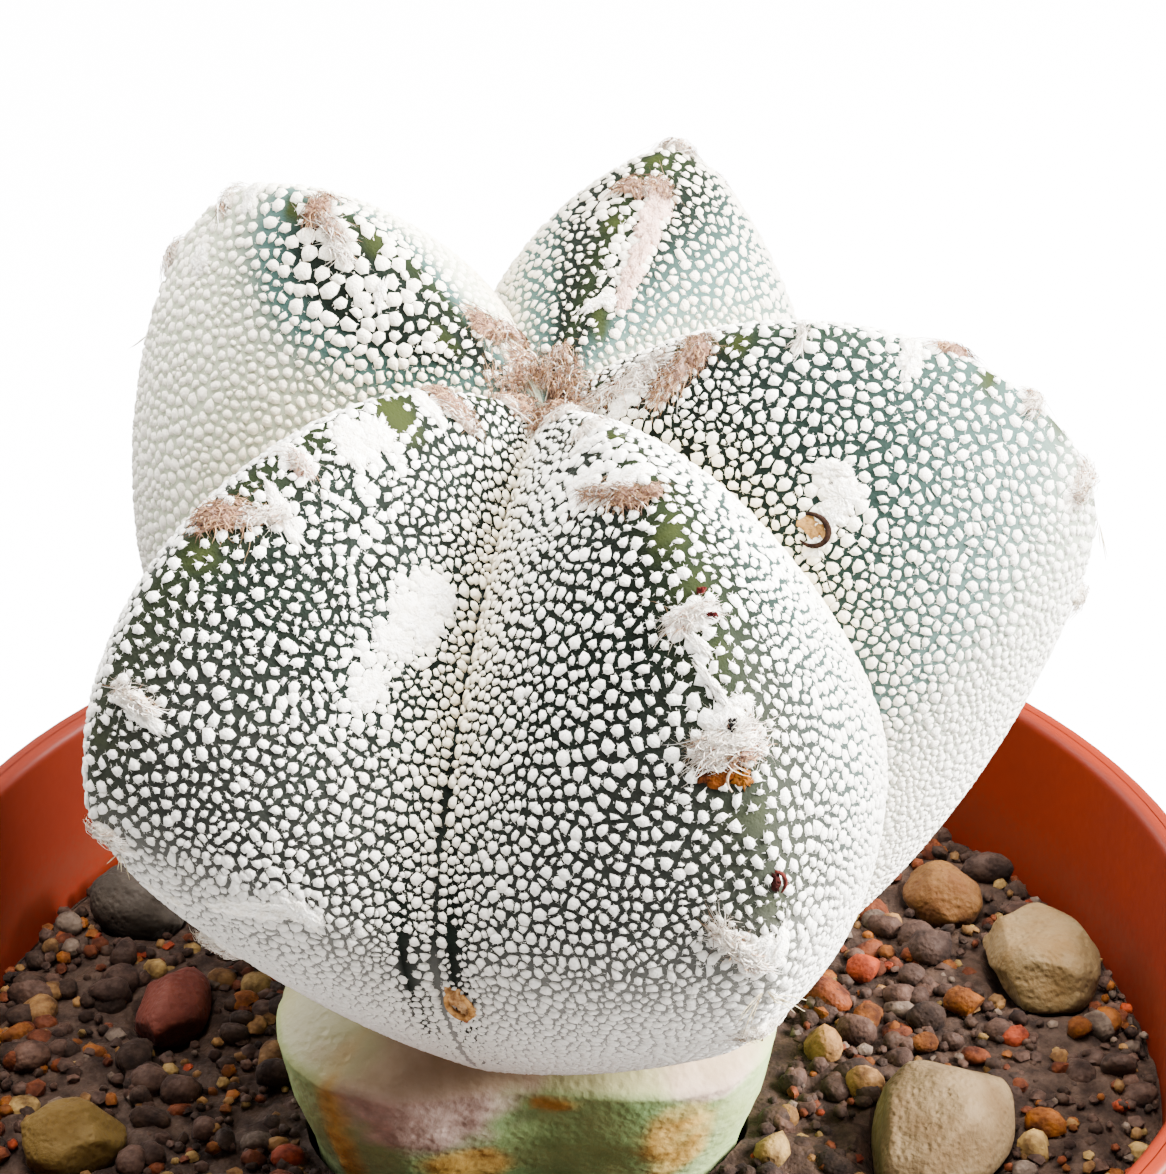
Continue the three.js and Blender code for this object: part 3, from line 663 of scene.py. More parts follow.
# Bald spots, mostly just below areoles: rib, share of the way down, side, half-width across the
# crest and half-length down it in millimetres, and how olive the skin is there.
BALD_SPOTS = [
    (0, 0.200, 0.15, 1.08, 0.72, 1.0),
    (0, 0.392, 0.07, 0.58, 0.52, 1.0),
    (0, 0.548, 0.03, 0.48, 0.42, 1.0),
    (0, 0.665, 0.05, 0.50, 0.43, 1.0),
    (1, 0.205, 0.0, 0.50, 0.36, 1.0),
    (1, 0.333, -0.03, 0.63, 0.56, 1.0),
    (1, 0.376, -0.03, 0.42, 0.42, 1.0),
    (1, 0.423, -0.03, 0.36, 0.54, 1.0),
    (1, 0.524, -0.03, 0.48, 0.48, 1.0),
    (1, 0.585, -0.02, 0.35, 0.55, 1.0),
    (1, 0.640, 0.0, 0.30, 0.54, 1.0),
    (0, 0.632, 0.905, 0.3, 2.6, 0.0),
    (1, 0.612, -0.935, 0.3, 2.0, 0.0),
    (2, 0.200, -0.10, 0.58, 0.43, 1.0),
    (2, 0.417, -0.03, 0.65, 0.50, 1.0),
    (2, 0.500, 0.0, 0.50, 0.50, 1.0),
    (2, 0.600, 0.0, 0.58, 0.50, 1.0),
    (3, 0.092, -0.42, 0.9, 0.5, 0.9),
    (3, 0.160, 0.0, 0.50, 0.36, 1.0),
    (3, 0.250, 0.0, 0.50, 0.43, 1.0),
    (3, 0.360, 0.05, 0.58, 0.50, 1.0),
    (3, 0.480, 0.0, 0.58, 0.50, 1.0),
    (4, 0.094, 0.45, 0.5, 0.6, 0.6),
    (4, 0.158, 0.05, 0.6, 0.4, 0.8),
    (4, 0.236, 0.1, 0.58, 0.43, 1.0),
    (4, 0.340, 0.0, 0.58, 0.50, 1.0),
    (4, 0.460, 0.0, 0.58, 0.50, 1.0),
    (4, 0.600, 0.0, 0.50, 0.50, 1.0),
]


def foot_outline(share, reach, widest, roundness):
    turn = np.clip((share - WIDEST_AT) / (1 - WIDEST_AT), 0, 1) * math.pi / 2
    inward = np.clip(np.cos(turn), 0, 1) ** (2 / roundness)
    out = BASE_RADIUS + (reach - BASE_RADIUS) * inward
    return out, widest - (BASE_DEPTH + widest) * np.sin(turn) ** (2 / roundness)


def crest_outline(share, rib):
    reach, widest, out, up, roundness = rib[1:6]
    part = np.clip(share / SHOULDER_AT, 0, 1)
    turn = np.clip((share - SHOULDER_AT) / (WIDEST_AT - SHOULDER_AT), 0, 1) * math.pi / 2
    top = out * part, up * np.sin(math.pi / 2 * part)
    middle = out + (reach - out) * np.sin(turn), widest + (up - widest) * np.cos(turn)
    lines = zip(top, middle, foot_outline(share, reach, widest, roundness))
    return [np.where(share < SHOULDER_AT, a, np.where(share < WIDEST_AT, b, c)) for a, b, c in lines]


def groove_outline(share, groove):
    reach, widest, lift = groove[1:4]
    part = np.clip(share / WIDEST_AT, 0, 1)
    turn = part * math.pi / 2
    out = reach * np.sin(turn) ** (2 / 1.6 * 0.95)
    up = widest * (1 - np.clip(np.cos(turn), 0, 1) ** (2 / 1.6)) + lift * np.sin(math.pi * part)
    foot = foot_outline(share, reach, widest, 1.7)
    return [np.where(share < WIDEST_AT, a, b) for a, b in zip((out, up), foot)]


def skin_point(share, rib, side):
    """Points of the skin: share of the way from the growing point to the base, rib number, and
    side from -1 in the groove before the rib, over 0 on its crest, to 1 in the groove after."""
    share, rib, side = np.broadcast_arrays(np.clip(share, 0, 1), rib, np.clip(side, -1, 1))
    ribs = np.moveaxis(RIBS[rib], -1, 0)
    before = side < 0
    grooves = np.moveaxis(GROOVES[np.where(before, (rib + 4) % 5, rib)], -1, 0)
    crest_out, crest_up = crest_outline(share, ribs)
    groove_out, groove_up = groove_outline(share, grooves)
    lower = np.clip((share - SHOULDER_AT) / 0.4, 0, 1)
    narrow = np.where(before, ribs[6], ribs[7])
    aside = np.abs(side)
    full = np.clip(1 - aside ** (1.3 - 0.22 * lower), 0, 1) ** ((0.8 + 0.17 * lower) * narrow)
    out = groove_out + (crest_out - groove_out) * full
    up = groove_up + (crest_up - groove_up) * full
    groove_azimuth = grooves[0] - np.where(before & (rib == 0), 360, 0)
    azimuth = np.radians(ribs[0] + aside * (groove_azimuth - ribs[0]))
    x, y = out * np.cos(azimuth), out * np.sin(azimuth)
    lean = -np.radians(LEAN) * (1 - share**8)
    x, up = x * np.cos(lean) + up * np.sin(lean), up * np.cos(lean) - x * np.sin(lean)
    return np.stack([x, y, up], -1) + GROWING_POINT


def skin_slopes(share, rib, side):
    """How a point of the skin moves with share and with side, and the skin's outward normal."""
    above, below, before, after = share - SLOPE_STEP, share + SLOPE_STEP, side - SLOPE_STEP, side + SLOPE_STEP
    down = skin_point(below, rib, side) - skin_point(above, rib, side)
    across = skin_point(share, rib, after) - skin_point(share, rib, before)
    down = down / (np.clip(below, 0, 1) - np.clip(above, 0, 1))[..., None]
    across = across / (np.clip(after, -1, 1) - np.clip(before, -1, 1))[..., None]
    normal = np.cross(down, across)
    return down, across, normal / (np.linalg.norm(normal, axis=-1, keepdims=True) + 1e-12)


def on_skin(share, rib, side, across, down, up):
    """Points at distances across the rib, down it and above the skin from places on the skin."""
    slope_down, slope_across, normal = skin_slopes(share, rib, side)
    rate = np.linalg.norm(slope_across, axis=-1)
    axis = slope_across / rate[..., None]
    slant, fall = np.sum(slope_down * axis, -1), np.sum(slope_down * np.cross(axis, normal), -1)
    more = down / fall[..., None]
    aside = (across - slant[..., None] * more) / rate[..., None]
    side = np.clip(side[..., None] + aside, -0.9985, 0.9985)
    share = np.clip(share[..., None] + more, 0.004, 0.997)
    normal = skin_slopes(share, rib, side)[2]
    return skin_point(share, rib, side) + normal * np.asarray(up)[..., None]


def apart_on_skin(share, rib, side, spot):
    """How far places lie from a spot on the same rib, measured in the spot's own half-sizes."""
    spot_rib, spot_share, spot_side, half_across, half_down = spot[:5]
    slope_down, slope_across, _ = skin_slopes(np.array([spot_share]), spot_rib, np.array([spot_side]))
    aside = (side - spot_side) * np.linalg.norm(slope_across[0])
    below = (share - spot_share) * np.linalg.norm(slope_down[0])
    return np.where(rib == spot_rib, np.hypot(aside / half_across, below / half_down), 99.0)


def skin_piece(material):
    rows = np.linspace(0, 1, SKIN_ROWS + 1)[1:]
    columns = np.linspace(-1, 1, SKIN_COLUMNS + 1)[:-1]
    share = (0.5 - 0.5 * np.cos(rows * math.pi)) * 0.35 + rows * 0.65
    side = np.tile(np.sign(columns) * np.abs(columns) ** 0.92, len(RIBS))
    share, side = np.meshgrid(share, side, indexing="ij")
    rib = np.broadcast_to(np.repeat(np.arange(len(RIBS)), SKIN_COLUMNS), share.shape)
    base = GROWING_POINT - (0, 0, BASE_DEPTH)
    points, triangles = closed_rings(skin_point(share, rib, side), GROWING_POINT, base)
    share, rib, side = share.ravel(), rib.ravel(), side.ravel()
    bald, low = np.zeros(len(share)), np.interp(share, [0.4, 0.58, 0.7, 0.8], [0, 0.04, 0.4, 1])
    for spot in BALD_SPOTS:
        apart, olive = apart_on_skin(share, rib, side, spot), spot[5]
        bald = np.maximum(bald, olive * np.clip(1.8 - apart, 0, 1))
        if not olive:
            low = low * np.clip(apart / 3 - 0.5, 0, 1)
    crest = np.clip(1 - np.abs(side) / 0.22, 0, 1)
    # The painted glare leaves one dark spot near the top of each of the two back ribs.
    from_dark_4 = np.hypot((share - 0.18) / 0.2, side / 0.5)
    from_dark_5 = np.hypot((share - 0.14) / 0.13, (side - 0.32) / 0.55)
    # Painted glare, rib by rib: pale and blue-green colour that stands in for bright light on the far ribs
    # and the lit right faces.
    painted_glare = [
        0 * side,
        np.interp(side, [0.1, 0.5, 1], [0, 0.22, 0.3]),
        np.interp(share + 0.12 * side, [0.1, 0.3, 0.42, 0.6], [0.02, 0.14, 0.34, 0.75]),
        np.interp(from_dark_4, [0.7, 1.3, 1.9], [0.02, 0.36, 0.6]),
        np.interp(from_dark_5, [0.65, 1.05, 1.5], [0.02, 0.5, 0.95]),
    ]
    carried = {"bald": bald, "crest": crest, "low": low, "painted_glare": np.choose(rib, painted_glare)}
    carried = {label: np.r_[values, 0, float(label == "low")] for label, values in carried.items()}
    skin = mesh_piece("scion_skin", points, triangles, material, "scion_skin", **carried)
    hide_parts("scion")


def skin_finish():
    skin = Finish("scion skin", "#0b110c", "#060805", 700, 1.0, (0.5, 0.7), 4200, 0.035, 20.0, 0.02)
    painted_glare, specks = skin.carried("painted_glare"), skin.place("TexVoronoi", {"Scale": 5200.0})["Distance"]
    return skin.layered(
        (skin.carried("crest", 0.75), "#141a0b"),
        # The painted glare tints the skin blue-green, then pale.
        (skin.ramped(painted_glare, 0.0, 0.5), "#334843"),
        (skin.ramped(painted_glare, 0.4, 1.0), "#a0a58c"),
        (skin.carried("bald"), "#1e230d"),
        (skin.sums("MULTIPLY", skin.ramped(specks, 0.3, 0.12), 0.3), "#222a20"),
        (skin.carried("low", 0.9), "#b2aea6"),
    )


skin_piece(skin_finish())

# The flecks: close tufts of very short white wool that cover the skin as rounded polygons 0.6 to
# 0.9 mm apart. They grow from the skin, stand a little proud of it and have hairy edges. They are
# larger near the crests, finer in the grooves, and run together low down.
FLECK_SAMPLES = 18
FLECK_ROUNDS = 8
FLECK_SIDES = 7
FLECK_HEIGHT = 0.12
FLECK_NEIGHBOURS = 13
FLECK_GRID = 241, 121
# The area of a hexagon that lies 1 from its neighbours.
HEXAGON_AREA = 0.866
# How near a bald spot no fleck grows, and how near a felt patch flecks join, in its half-sizes.
NO_FLECKS_WITHIN = 0.72
FELTED_WITHIN = 0.9
# How many fringe hairs a fleck has, rib by rib.
FRINGE_HAIRS = (6, 6, 4, 3, 3)
# White felt that has run together over the flecks: rib, share, side, half-width across, half-
# length down in millimetres, the turn of the patch in degrees, and how high it stands.
FELT_PATCHES = [
    (0, 0.283, 0.82, 1.25, 1.3, 0, 0.2),
    (0, 0.312, 0.78, 1.5, 1.5, 0, 0.2),
    (0, 0.342, 0.735, 1.1, 1.0, 0, 0.18),
    (0, 0.385, 0.71, 0.6, 1.6, 8, 0.14),
    (0, 0.262, 0.20, 1.2, 0.9, 35, 0.18),
    (0, 0.235, 0.22, 1.3, 0.9, 20, 0.2),
    (0, 0.255, 0.12, 1.0, 0.8, -30, 0.2),
    (0, 0.333, 0.20, 1.9, 0.5, 15, 0.2),
    (0, 0.160, 0.10, 1.6, 0.6, 0, 0.2),
    (0, 0.300, 0.03, 1.0, 0.6, 0, 0.2),
    (0, 0.512, 0.12, 1.5, 0.5, 0, 0.2),
    (0, 0.640, 0.50, 2.6, 0.75, -24, 0.14),
    (0, 0.618, 0.62, 1.3, 0.6, 24, 0.14),
    (0, 0.662, 0.38, 1.3, 0.5, -38, 0.14),
    (0, 0.655, 0.06, 1.1, 0.5, 0, 0.2),
    (0, 0.706, 0.12, 1.1, 0.5, 0, 0.18),
    (0, 0.767, 0.14, 1.0, 0.5, 0, 0.16),
    (1, 0.190, -0.20, 1.0, 0.45, 30, 0.18),
    (1, 0.240, -0.28, 1.5, 0.55, 25, 0.2),
    (1, 0.272, -0.12, 2.2, 0.6, 0, 0.22),
    (1, 0.394, -0.05, 1.2, 0.9, 0, 0.25),
    (1, 0.412, -0.06, 0.34, 1.0, -15, 0.2),
    (1, 0.440, -0.05, 0.3, 1.5, -10, 0.22),
    (1, 0.466, -0.05, 1.3, 1.0, 0, 0.3),
    (1, 0.481, -0.04, 1.4, 0.8, 0, 0.3),
    (1, 0.455, 0.02, 0.6, 0.4, 20, 0.22),
    (1, 0.608, -0.06, 1.1, 0.6, -15, 0.25),
    (1, 0.622, -0.03, 1.3, 0.6, -25, 0.25),
    (2, 0.101, -0.57, 1.8, 0.45, 0, 0.2),
    (2, 0.348, -0.08, 1.5, 0.6, 0, 0.22),
    (2, 0.352, -0.72, 1.0, 1.3, -20, 0.22),
    (2, 0.354, -0.80, 1.0, 0.8, 0, 0.2),
    (2, 0.360, -0.90, 0.7, 0.6, 0, 0.2),
    (2, 0.330, -0.66, 0.6, 1.0, -30, 0.18),
    (2, 0.558, -0.10, 1.2, 0.6, 0, 0.22),
    (3, 0.100, -0.25, 0.5, 1.1, 0, 0.2),
    (4, 0.152, 0.38, 0.9, 0.35, 20, 0.16),
    (4, 0.352, 0.23, 1.1, 0.7, 0, 0.2),
    (4, 0.290, 0.05, 1.2, 0.6, 0, 0.2),
]
# Felt with a pink tinge, measured in the same way.
PINK_FELT = [
    (3, 0.126, -0.44, 1.0, 0.5, 28, 0.22),
    (3, 0.142, -0.37, 1.2, 0.55, 30, 0.25),
    (3, 0.160, -0.30, 1.2, 0.6, 34, 0.28),
    (3, 0.180, -0.245, 1.3, 0.7, 40, 0.3),
    (3, 0.200, -0.195, 1.3, 0.9, 40, 0.3),
    (3, 0.214, -0.15, 1.2, 0.8, 20, 0.3),
    (0, 0.300, 0.10, 0.9, 0.6, 20, 0.25),
    (1, 0.394, -0.08, 0.7, 0.5, 0, 0.4),
]
# Where flecks run together more often: rib, share, side, half-width across, half-length down in
# millimetres, and the share of neighbours that join.
JOINED_ZONES = [
    (0, 0.262, 0.13, 3.8, 4.2, 0.55),
    (0, 0.230, 0.30, 1.4, 2.4, 0.8),
    (0, 0.300, 0.45, 2.2, 2.2, 0.4),
    (0, 0.312, 0.77, 1.8, 2.4, 0.95),
    (0, 0.380, 0.70, 1.5, 3.0, 0.75),
    (0, 0.430, 0.60, 3.0, 2.0, 0.3),
    (0, 0.620, 0.52, 2.8, 2.0, 0.7),
    (0, 0.660, 0.30, 4.0, 1.6, 0.5),
    (1, 0.205, -0.24, 2.4, 1.5, 0.5),
    (1, 0.250, -0.20, 3.2, 1.2, 0.85),
    (1, 0.160, 0.10, 1.6, 3.0, 0.4),
    (1, 0.440, -0.04, 0.8, 3.6, 0.7),
    (1, 0.610, -0.08, 2.2, 1.2, 0.6),
    (2, 0.352, -0.74, 1.4, 1.8, 0.9),
    (2, 0.340, 0.02, 1.6, 2.4, 0.6),
    (2, 0.100, -0.50, 2.4, 1.4, 0.7),
    (2, 0.560, -0.08, 1.8, 1.4, 0.6),
    (3, 0.165, -0.16, 1.1, 3.6, 0.95),
    (3, 0.200, 0.16, 0.9, 2.4, 0.8),
    (3, 0.110, -0.36, 0.8, 1.8, 0.9),
    (4, 0.170, 0.34, 4.5, 4.6, 0.6),
    (4, 0.165, 0.42, 1.8, 1.4, 0.8),
    (4, 0.185, 0.0, 1.3, 5.0, 0.7),
    (4, 0.360, 0.20, 1.8, 1.4, 0.6),
    (2, 0.450, 0.30, 1.8, 1.2, 0.6),
    (3, 0.400, 0.35, 1.4, 2.2, 0.6),
    (4, 0.420, -0.40, 2.0, 1.6, 0.6),
    (0, 0.400, -0.45, 1.8, 2.4, 0.6),
]


def wanted_spacing(share, rib, side):
    spacing = np.interp(np.abs(side), [0, 0.12, 0.3, 0.7, 1], [0.96, 0.93, 0.83, 0.76, 0.61])
    spacing = spacing * (0.86, 0.88, 0.88, 0.88, 0.83)[rib]
    if rib == 4:
        spacing = spacing * (1 + 0.6 * np.clip(1 - np.hypot((share - 0.15) / 0.13, (side - 0.3) / 0.5), 0, 1))
    if rib >= 3:
        spacing = spacing * np.interp(share, [0.38, 0.5], [1, 1.14])
    down = [0, 0.08, 0.2, 0.42, 0.55, 0.66, 0.8, 1], [0.62, 0.78, 1, 0.96, 0.83, 0.75, 0.7, 0.67]
    return spacing * np.interp(share, *down)


def point_tree(points):
    tree = KDTree(len(points))
    for index, point in enumerate(points):
        tree.insert(point, index)
    tree.balance()
    return tree


def fleck_places(rib, random):
    """Shares and sides at which one rib's flecks stand: evenly spread by moving each to the
    middle of the samples that lie nearest to it, several times over."""
    edges = np.linspace(0.03, 0.99, FLECK_GRID[0]), np.linspace(-0.985, 0.985, FLECK_GRID[1])
    steps = [line[1] - line[0] for line in edges]
    share, side = np.meshgrid(*[(line[1:] + line[:-1]) / 2 for line in edges], indexing="ij")
    down, across, _ = skin_slopes(share, rib, side)
    area = np.linalg.norm(np.cross(down, across), axis=-1) * (steps[0] * steps[1])
    weight = (area / wanted_spacing(share, rib, side) ** 2).ravel()
    count = int(weight.sum() / HEXAGON_AREA)
    picked = random.choice(weight.size, size=count * FLECK_SAMPLES, p=weight / weight.sum())
    shift = random.uniform(-0.5, 0.5, (2, len(picked)))
    share = share.ravel()[picked] + shift[0] * steps[0]
    side = side.ravel()[picked] + shift[1] * steps[1]
    samples = skin_point(share, rib, side)
    fleck_share, fleck_side = share[:count].copy(), side[:count].copy()
    for _ in range(FLECK_ROUNDS):
        nearest = point_tree(skin_point(fleck_share, rib, fleck_side))
        owner = np.array([nearest.find(sample)[1] for sample in samples])
        held = np.bincount(owner, minlength=count)
        kept = held > 0
        for values, means in ((share, fleck_share), (side, fleck_side)):
            means[kept] = np.bincount(owner, values, count)[kept] / held[kept]
    return fleck_share, fleck_side


def half_gaps(share, rib, side):
    """Half the width of the channels beside each fleck, measured across the rib and down it."""
    aside = np.abs(side)
    gap = np.interp(aside, [0, 0.12, 0.3, 0.7, 0.9, 1], [0.165, 0.15, 0.12, 0.09, 0.065, 0.05])
    narrower = (0.96, 0.88, 0.7, 0.95, 0.73)[rib]
    gap = gap * (np.where(side > 0.12, 0.7, narrower) if rib == 1 else narrower)
    gap = gap * np.interp(share, [0, 0.38, 0.52, 0.64, 0.7, 0.77, 1], [1, 1, 0.92, 0.68, 0.34, 0, -0.3])
    return gap * np.interp(aside, [0, 0.7, 1], [1, 0.9, 0.55]), gap * np.interp(aside, [0.6, 1], [1, 1.25])


def from_spots(spots, share, rib, side):
    """How far places lie from the nearest of some spots, in that spot's own half-sizes."""
    return np.min([apart_on_skin(share, rib, side, spot) for spot in spots], 0)


def fleck_outlines(share, rib, side, random):
    """How far each fleck reaches in each direction: to the lines midway to its neighbours, less
    the channels. Some neighbours have no channel between them, so those flecks run together.
    The last neighbour of each is its own image in the groove."""
    count, each = len(share), np.arange(len(share))[:, None]
    points = skin_point(share, rib, side)
    _, across, normal = skin_slopes(share, rib, side)
    axis = across / np.linalg.norm(across, axis=-1, keepdims=True)
    other = np.cross(axis, normal)
    tree = point_tree(points)
    found = [[hit[1] for hit in tree.find_n(point, FLECK_NEIGHBOURS + 1)][1:] for point in points]
    found = np.array(found)
    mirrored = 2 * (skin_point(share, rib, np.sign(side)) - points)
    away = np.concatenate([points[found] - points[:, None], mirrored[:, None]], 1)
    far = np.linalg.norm(away, axis=-1)
    heading = np.arctan2((away * other[:, None]).sum(-1), (away * axis[:, None]).sum(-1))
    bulk = random.uniform(-0.045, 0.045, count)
    lead = np.concatenate([bulk[:, None] - bulk[found], np.zeros((count, 1))], 1)
    gap_across, gap_down = half_gaps(share, rib, side)
    gap = gap_across[:, None] * np.cos(heading) ** 2 + gap_down[:, None] * np.sin(heading) ** 2
    low, high = np.minimum(each, found), np.maximum(each, found)
    chance = np.modf(np.abs(np.sin(low * 12.9898 + high * 78.233 + rib) * 43758.5453))[0]
    chance = np.concatenate([chance, np.ones((count, 1))], 1)
    merging = 0.06 + 0.06 * np.clip(1 - np.abs(side) / 0.4, 0, 1)
    for zone in JOINED_ZONES:
        inside = np.clip((1.25 - apart_on_skin(share, rib, side, zone)) / 0.5, 0, 1)
        merging = np.maximum(merging, zone[5] * inside)
    gap = gap * np.interp(from_spots(BALD_SPOTS, share, rib, side), [0.8, 2.2], [1.7, 1])[:, None]
    gap = np.where(chance < merging[:, None], -0.05, gap * (0.72 + 0.56 * chance))
    felted = from_spots(FELT_PATCHES + PINK_FELT, share, rib, side) < FELTED_WITHIN
    gap = np.where(felted[:, None], -0.03, gap)
    front = ((rib == 0) & (side > 0)) | ((rib == 1) & (side < 0))
    gap[:, -1] += np.interp(share, [0.6, 0.72], [0, -0.05])
    gap[:, -1] += np.where(front, np.interp(share, [0.36, 0.46, 0.64, 0.7], [-0.05, 0.07, 0.07, -0.02]), 0)
    reach = np.maximum(far / 2 + lead / far - gap, 0.07)
    directions = random.uniform(0, 2 * math.pi, count)[:, None] + around(FLECK_SIDES)
    facing = np.cos(directions[:, :, None] - heading[:, None, :])
    limits = np.where(facing > 0.12, reach[:, None] / np.maximum(facing, 0.12), 9.0)
    power = np.interp(share, [0.34, 0.5], [7.0, 11.0])[:, None, None]
    radius = np.sum(limits**-power, -1) ** (-1 / power[..., 0])
    radius = np.minimum(radius, 0.72 * wanted_spacing(share, rib, side)[:, None])
    return directions, radius * (1 + 0.06 * random.normal(size=radius.shape).clip(-2, 2))


def copied(faces, count, size):
    """The triangles of many equal meshes that follow each other, each of so many points."""
    return (np.array(faces) + np.arange(count)[:, None, None] * size).reshape(-1, 3)


def flecks_piece(rib, material):
    random = np.random.default_rng(40 + rib)
    share, side = fleck_places(rib, random)
    directions, radius = fleck_outlines(share, rib, side, random)
    bare = from_spots(BALD_SPOTS, share, rib, side)
    grown = bare > NO_FLECKS_WITHIN
    share, side, bare, directions, radius = [v[grown] for v in (share, side, bare, directions, radius)]
    radius *= np.interp(bare, [NO_FLECKS_WITHIN, 1.3], [0.75, 1])[:, None]
    count, hairs_each, size = len(share), FRINGE_HAIRS[rib], 2 * FLECK_SIDES + 1
    height = FLECK_HEIGHT * random.uniform(0.75, 1.25, count)[:, None]
    height = height * np.interp(share, [0, 0.1, 0.2, 0.6, 0.74], [0.7, 0.8, 1, 1, 0.55])[:, None]
    cos, sin, middle = np.cos(directions), np.sin(directions), np.zeros((count, 1))
    across = np.concatenate([radius * cos, radius * 0.82 * cos, middle], 1)
    down = np.concatenate([radius * sin, radius * 0.82 * sin, middle], 1)
    wobble = 1 + 0.2 * random.normal(size=(count, FLECK_SIDES)).clip(-1.5, 1.5)
    up = np.concatenate([np.full(radius.shape, -0.05), height * 0.75 * wobble, height * 1.1], 1)
    points = on_skin(share, rib, side, across, down, up).reshape(-1, 3)
    faces = []
    for a in range(FLECK_SIDES):
        b, edge = (a + 1) % FLECK_SIDES, a + FLECK_SIDES
        on = b + FLECK_SIDES
        faces += [(a, b, edge), (b, on, edge), (edge, on, size - 1)]
    root = directions[:, :1] + random.uniform(0, 2 * math.pi, (count, hairs_each))
    index = np.round((root - directions[:, :1]) / (2 * math.pi / FLECK_SIDES)).astype(int)
    reach = np.take_along_axis(radius, index % FLECK_SIDES, 1)
    longer = np.interp(np.abs(side), [0, 0.3, 1], [0.12, 0.075, 0.05])[:, None]
    tip = reach + longer * random.uniform(0.5, 1.5, root.shape)
    lean = random.normal(size=root.shape) * 0.25
    corners = (root - 0.07, reach * 0.94, 0.06), (root + 0.07, reach * 0.94, 0.06), (root + lean, tip, 0.05)
    hairs = []
    for heading, far, level in corners:
        hairs.append(on_skin(share, rib, side, far * np.cos(heading), far * np.sin(heading), level))
    hairs = np.stack(hairs, 2).reshape(-1, 3)
    triangles = [copied(faces, count, size), np.arange(len(hairs)).reshape(-1, 3) + len(points)]
    warm = np.clip((np.abs(side) - 0.62) / 0.38, 0, 1) * np.interp(share, [0.35, 0.6], [0.95, 0.35])
    # Flecks greyer low down and on the fourth rib: partly greyer wool low down, partly painted shade on faces
    # turned from the light.
    low = np.interp(share, [0.36, 0.5, 0.62, 0.74, 0.84, 1], [0, 0.6, 0.9, 0.7, 0.3, 0.4])
    low = np.clip(low + (0, 0, 0, 0.6, 0.05)[rib], 0, 1)
    carried = {"tone": random.uniform(0, 1, count), "warm": warm + (0, 0, 0.1, 0.8, 0.5)[rib], "low": low}
    for label, values in carried.items():
        carried[label] = np.r_[np.repeat(values, size), np.repeat(values, 3 * hairs_each)]
    points, triangles = np.concatenate([points, hairs]), np.concatenate(triangles)
    mesh_piece(f"flecks_{rib + 1}", points, triangles, material, "scion_skin", **carried)


fleck_wool = Finish("fleck wool", "#f8f5ee", "#dcd8ca", 5200, 0.9, (0.85, 0.98), 7000, 0.06, 30.0)
fleck_wool.layered(
    (fleck_wool.carried("tone", 0.16), "#bdb7a4"),
    (fleck_wool.carried("warm"), "#ded2b6"),
    # Greyer low down: partly the wool's own tone, partly painted shade.
    (fleck_wool.carried("low", 0.75), "#aca79f"),
)
for rib in range(len(RIBS)):
    flecks_piece(rib, fleck_wool.material)

# The felt: where flecks have run together, and along the crests, white wool lies as a thin crust
# with a ragged border. It grows from the skin like the flecks, and is a little narrower than the
# stretch where they have joined.
FELT_ROUGH = (0.8, 0.97)
FELT_HAIRS_PER_MM = 45
FELT_NARROWING = 0.85
FELT_LOWERING = 0.6


def laid_on_skin(place, across, down, up):
    """Points at distances across, down and above the skin from one place: rib, share and side."""
    rib, share, side = place
    return on_skin(np.array([share]), rib, np.array([side]), across[None], down[None], up)[0]


def spun(x, y, degrees):
    """Places turned in their own plane."""
    turn = math.radians(degrees)
    return x * math.cos(turn) - y * math.sin(turn), x * math.sin(turn) + y * math.cos(turn)


def felt_patch(random, patch, rings=7, sides=44, ragged=0.34, rough=0.55, hairs=0):
    """Points and triangles of one low patch of felt, as wide and long as the patch says."""
    half_across, half_down, turn, height = patch[3:7]
    azimuth, waves = around(sides), zip((2, 5, 9, 15), random.uniform(0, 2 * math.pi, 4))
    border = sum(np.sin(wave * azimuth + phase) / (1 + 0.3 * k) for k, (wave, phase) in enumerate(waves))
    border = 1 + ragged * border * 0.5
    part = np.linspace(1, 1 / rings, rings)
    x = (part[:, None] * border * half_across * np.cos(azimuth)).ravel()
    y = (part[:, None] * border * half_down * np.sin(azimuth)).ravel()
    up = np.r_[np.repeat(np.sqrt(np.clip(1 - part**3, 0, 1)), sides), 1.0] * height
    up = up * (1 + rough * random.normal(size=len(up)).clip(-1.6, 1.6) * 0.5) + 0.08
    up[:sides] = -0.06
    points = laid_on_skin(patch[:3], *spun(np.r_[x, 0], np.r_[y, 0], turn), up)
    ahead = [a - a % sides + (a + 1) % sides for a in range(rings * sides)]
    faces = []
    for a, b in enumerate(ahead[:-sides]):
        faces += [(a, b, a + sides), (b, b + sides, a + sides)]
    faces += [(b - 1 if b % sides else b + sides - 1, b, len(x)) for b in ahead[-sides:]]
    if not hairs:
        return points, np.array(faces)
    foot = random.uniform(0, sides, hairs)
    reach = np.interp(foot, np.arange(sides + 1), np.r_[border, border[0]])
    tip = reach + random.uniform(0.05, 0.22, hairs) / max(half_across, half_down)
    fringe = []
    for aside, far, level in ((-0.22, reach * 0.95, 0.1), (0.22, reach * 0.95, 0.1), (0, tip, 0.05)):
        at = (foot + aside) / sides * 2 * math.pi
        flat = spun(far * half_across * np.cos(at), far * half_down * np.sin(at), turn)
        fringe.append(laid_on_skin(patch[:3], *flat, level))
    fringe = np.stack(fringe, 1).reshape(-1, 3)
    more = np.arange(len(fringe)).reshape(-1, 3) + len(points)
    return np.concatenate([points, fringe]), np.concatenate([faces, more])


